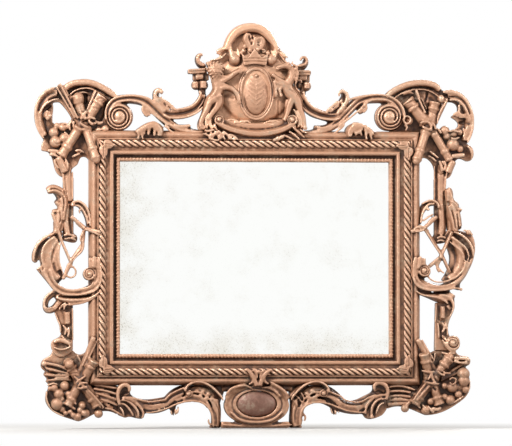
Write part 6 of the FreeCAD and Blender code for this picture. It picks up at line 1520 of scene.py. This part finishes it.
# Leaf on a corner of the rope: its place at the top left, the sums of the places of two corners,
# the way that each corner faces, and its paths and heights
LEAF_CORNER_PX = (102.2, 145.2)
CORNER_SUMS_PX = (509.8, 514.7)
CORNERS = {"top_left": (1, 1), "top_right": (-1, 1), "bottom_left": (1, -1), "bottom_right": (-1, -1)}
CORNER_LEAF = (
    ([(0, 0, 5.6), (6, 0.4, 5), (12, 0.8, 2)], 52),
    ([(1, -2.8, 3), (5, -3, 3), (8.6, -2, 1.6)], 50),
    ([(3, 3.2, 3), (6.4, 3.4, 3), (9.6, 2.4, 1.6)], 50),
    ([(-0.4, 2, 5.6), (-0.2, 8, 5), (0, 15, 2)], 52),
    ([(-3, 3, 3), (-3.2, 7, 3), (-2.2, 10.6, 1.6)], 50),
    ([(3, 5, 3), (3, 9, 3), (2, 12.6, 1.6)], 50))


def corner_leaves():
    """Small leaf that covers each corner of the rope."""
    for name, (hand, rise) in CORNERS.items():
        piece = Carving("rope_leaf_" + name, packed=False)
        middle = LEAF_CORNER_PX[0] if hand == 1 else CORNER_SUMS_PX[0] - LEAF_CORNER_PX[0]
        level = LEAF_CORNER_PX[1] if rise == 1 else CORNER_SUMS_PX[1] - LEAF_CORNER_PX[1]
        for path, crown in CORNER_LEAF:
            piece.roll([(middle + hand * across, level + rise * down, width)
                        for across, down, width in path], crown)
        piece.cut([(middle + hand * 2, level, 1), (middle + hand * 10, level + rise * 0.6, 1)], 6)
        piece.cut([(middle, level + rise * 3, 1), (middle, level + rise * 13, 1)], 6)
        piece.finish()


noise.seed_set(WOBBLE_SEED)
main_frame()
corner_leaves()

# The crest board takes a lighter copy of the gilding as painted light, and the boss a darker copy as painted
# shade
OTHER_FINISH = {"cartouche_boss": (GILT_BOSS_SHADED, "gilt_boss"), "crest_board": (GILT_PAINTED_LIGHT, "giltwood")}
for name, piece in PIECES.items():
    piece.finish(*OTHER_FINISH.get(name, (GILT, "giltwood")))

front_heights = height_map(GILDED)
for mesh in GILDED:
    mark_shelter(mesh, front_heights)

# Finishes of the nodes that show as they are packed, by the first name that fits
NODE_FINISH = (("backboard_nails", IRON), ("hanger_screws", STEEL), ("hanger", BRASS),
               ("mirror_plate", SILVER), (("backboard", "glazing", "mitre", "frame_dowels"), PINE),
               ("", GILT))
for name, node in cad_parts.items():
    if node.hide_render:
        continue
    node.data.materials.clear()
    node.data.materials.append(next(finish for start, finish in NODE_FINISH if name.startswith(start)))


# Floor, light and camera
FLOOR_REACH = 6.0
FLOOR_FADE = (0.5, 1.6)
FLOOR_BOUNCE = (110, 108, 106)
FLOOR_DROP = cad_low.z - 0.002
AMBIENT = 0.16
LAMP_AIM = Vector((0, 0, 0.05))
LAMPS = (("key_lamp", (-2.2, -2.1, 1.9), 0.6, 140.0),
         ("fill_lamp", (2.5, -2.1, 1.4), 1.2, 54.0),
         ("back_lamp", (1.2, 2.8, 1.5), 1.2, 80.0))
LOOK_PX = (256.0, 223.0)
LOOK_HEIGHT = 30.0
LENS = 300.0
SENSOR = 36.0
IMAGE_WIDTH_PX = 512.0
CAMERA_AZIMUTH = -5.0
CAMERA_ELEVATION = -2.0


def pale_floor():
    """Pale where the camera sees it, quieter in the light that it throws back, white far from the object."""
    material, shader, start = new_finish("pale_floor")
    shader.inputs["Roughness"].default_value = 0.9
    spot = start.coordinates()
    tone = start.noise(spot, 3.0).mixed(linear(214, 213, 210), linear(222, 220, 217))
    seen = start.make("ShaderNodeLightPath", {}, {}, "Is Camera Ray")
    glossy = start.make("ShaderNodeLightPath", {}, {}, "Is Glossy Ray")
    seen = (seen + glossy).clamped()
    links = material.node_tree.links
    links.new(seen.mixed(linear(*FLOOR_BOUNCE), tone).socket, shader.inputs["Base Color"])
    away = start.make("ShaderNodeVectorMath", {"operation": "LENGTH"}, {0: spot}, "Value")
    white = start.make("ShaderNodeEmission", {}, {"Color": (1.0, 1.0, 1.0, 1.0), "Strength": 1.0})
    fade = seen * away.step(*FLOOR_FADE)
    surface = Shade(material.node_tree, shader.outputs[0])
    mixed = start.make("ShaderNodeMixShader", {}, {0: fade, 1: surface, 2: white})
    links.new(mixed.socket, material.node_tree.nodes["Material Output"].inputs["Surface"])
    bm = bmesh.new()
    bmesh.ops.create_grid(bm, x_segments=2, y_segments=2, size=FLOOR_REACH,
                          matrix=Matrix.Translation((0, 0, FLOOR_DROP)))
    mesh = bpy.data.meshes.new("floor")
    bm.to_mesh(mesh)
    bm.free()
    mesh.materials.append(material)
    floor = bpy.data.objects.new("floor", mesh)
    bpy.context.scene.collection.objects.link(floor)


def soft_light():
    """White seen by camera and gloss, a plain level for the rest, and three soft lamps."""
    world = bpy.data.worlds.new("studio")
    world.use_nodes = True
    bpy.context.scene.world = world
    start = Shade(world.node_tree)
    seen = start.make("ShaderNodeLightPath", {}, {}, "Is Camera Ray")
    glossy = start.make("ShaderNodeLightPath", {}, {}, "Is Glossy Ray")
    through = start.make("ShaderNodeLightPath", {}, {}, "Is Transmission Ray")
    shown = (seen + glossy + through).clamped()
    level = shown * (1.0 - AMBIENT) + AMBIENT
    background = world.node_tree.nodes["Background"]
    background.inputs["Color"].default_value = (1.0, 1.0, 1.0, 1.0)
    world.node_tree.links.new(level.socket, background.inputs["Strength"])
    for name, spot, size, power in LAMPS:
        lamp = bpy.data.lights.new(name, "AREA")
        lamp.size = size
        lamp.energy = power
        holder = bpy.data.objects.new(name, lamp)
        holder.location = spot
        holder.rotation_euler = (LAMP_AIM - Vector(spot)).to_track_quat("-Z", "Y").to_euler()
        bpy.context.scene.collection.objects.link(holder)


def camera():
    """Long lens that shows the whole front as wide as the photo does."""
    data = bpy.data.cameras.new("camera")
    data.lens = LENS
    data.sensor_width = SENSOR
    holder = bpy.data.objects.new("camera", data)
    target = place(*LOOK_PX, LOOK_HEIGHT)
    azimuth = math.radians(CAMERA_AZIMUTH)
    elevation = math.radians(CAMERA_ELEVATION)
    back = Vector((math.sin(azimuth) * math.cos(elevation), -math.cos(azimuth) * math.cos(elevation),
                   math.sin(elevation)))
    holder.location = target + back * (IMAGE_WIDTH_PX * PIXEL * LENS / SENSOR)
    holder.rotation_euler = (-back).to_track_quat("-Z", "Y").to_euler()
    data.clip_end = 100.0
    bpy.context.scene.collection.objects.link(holder)
    bpy.context.scene.camera = holder


pale_floor()
soft_light()
camera()
bpy.context.scene.view_settings.view_transform = "Standard"
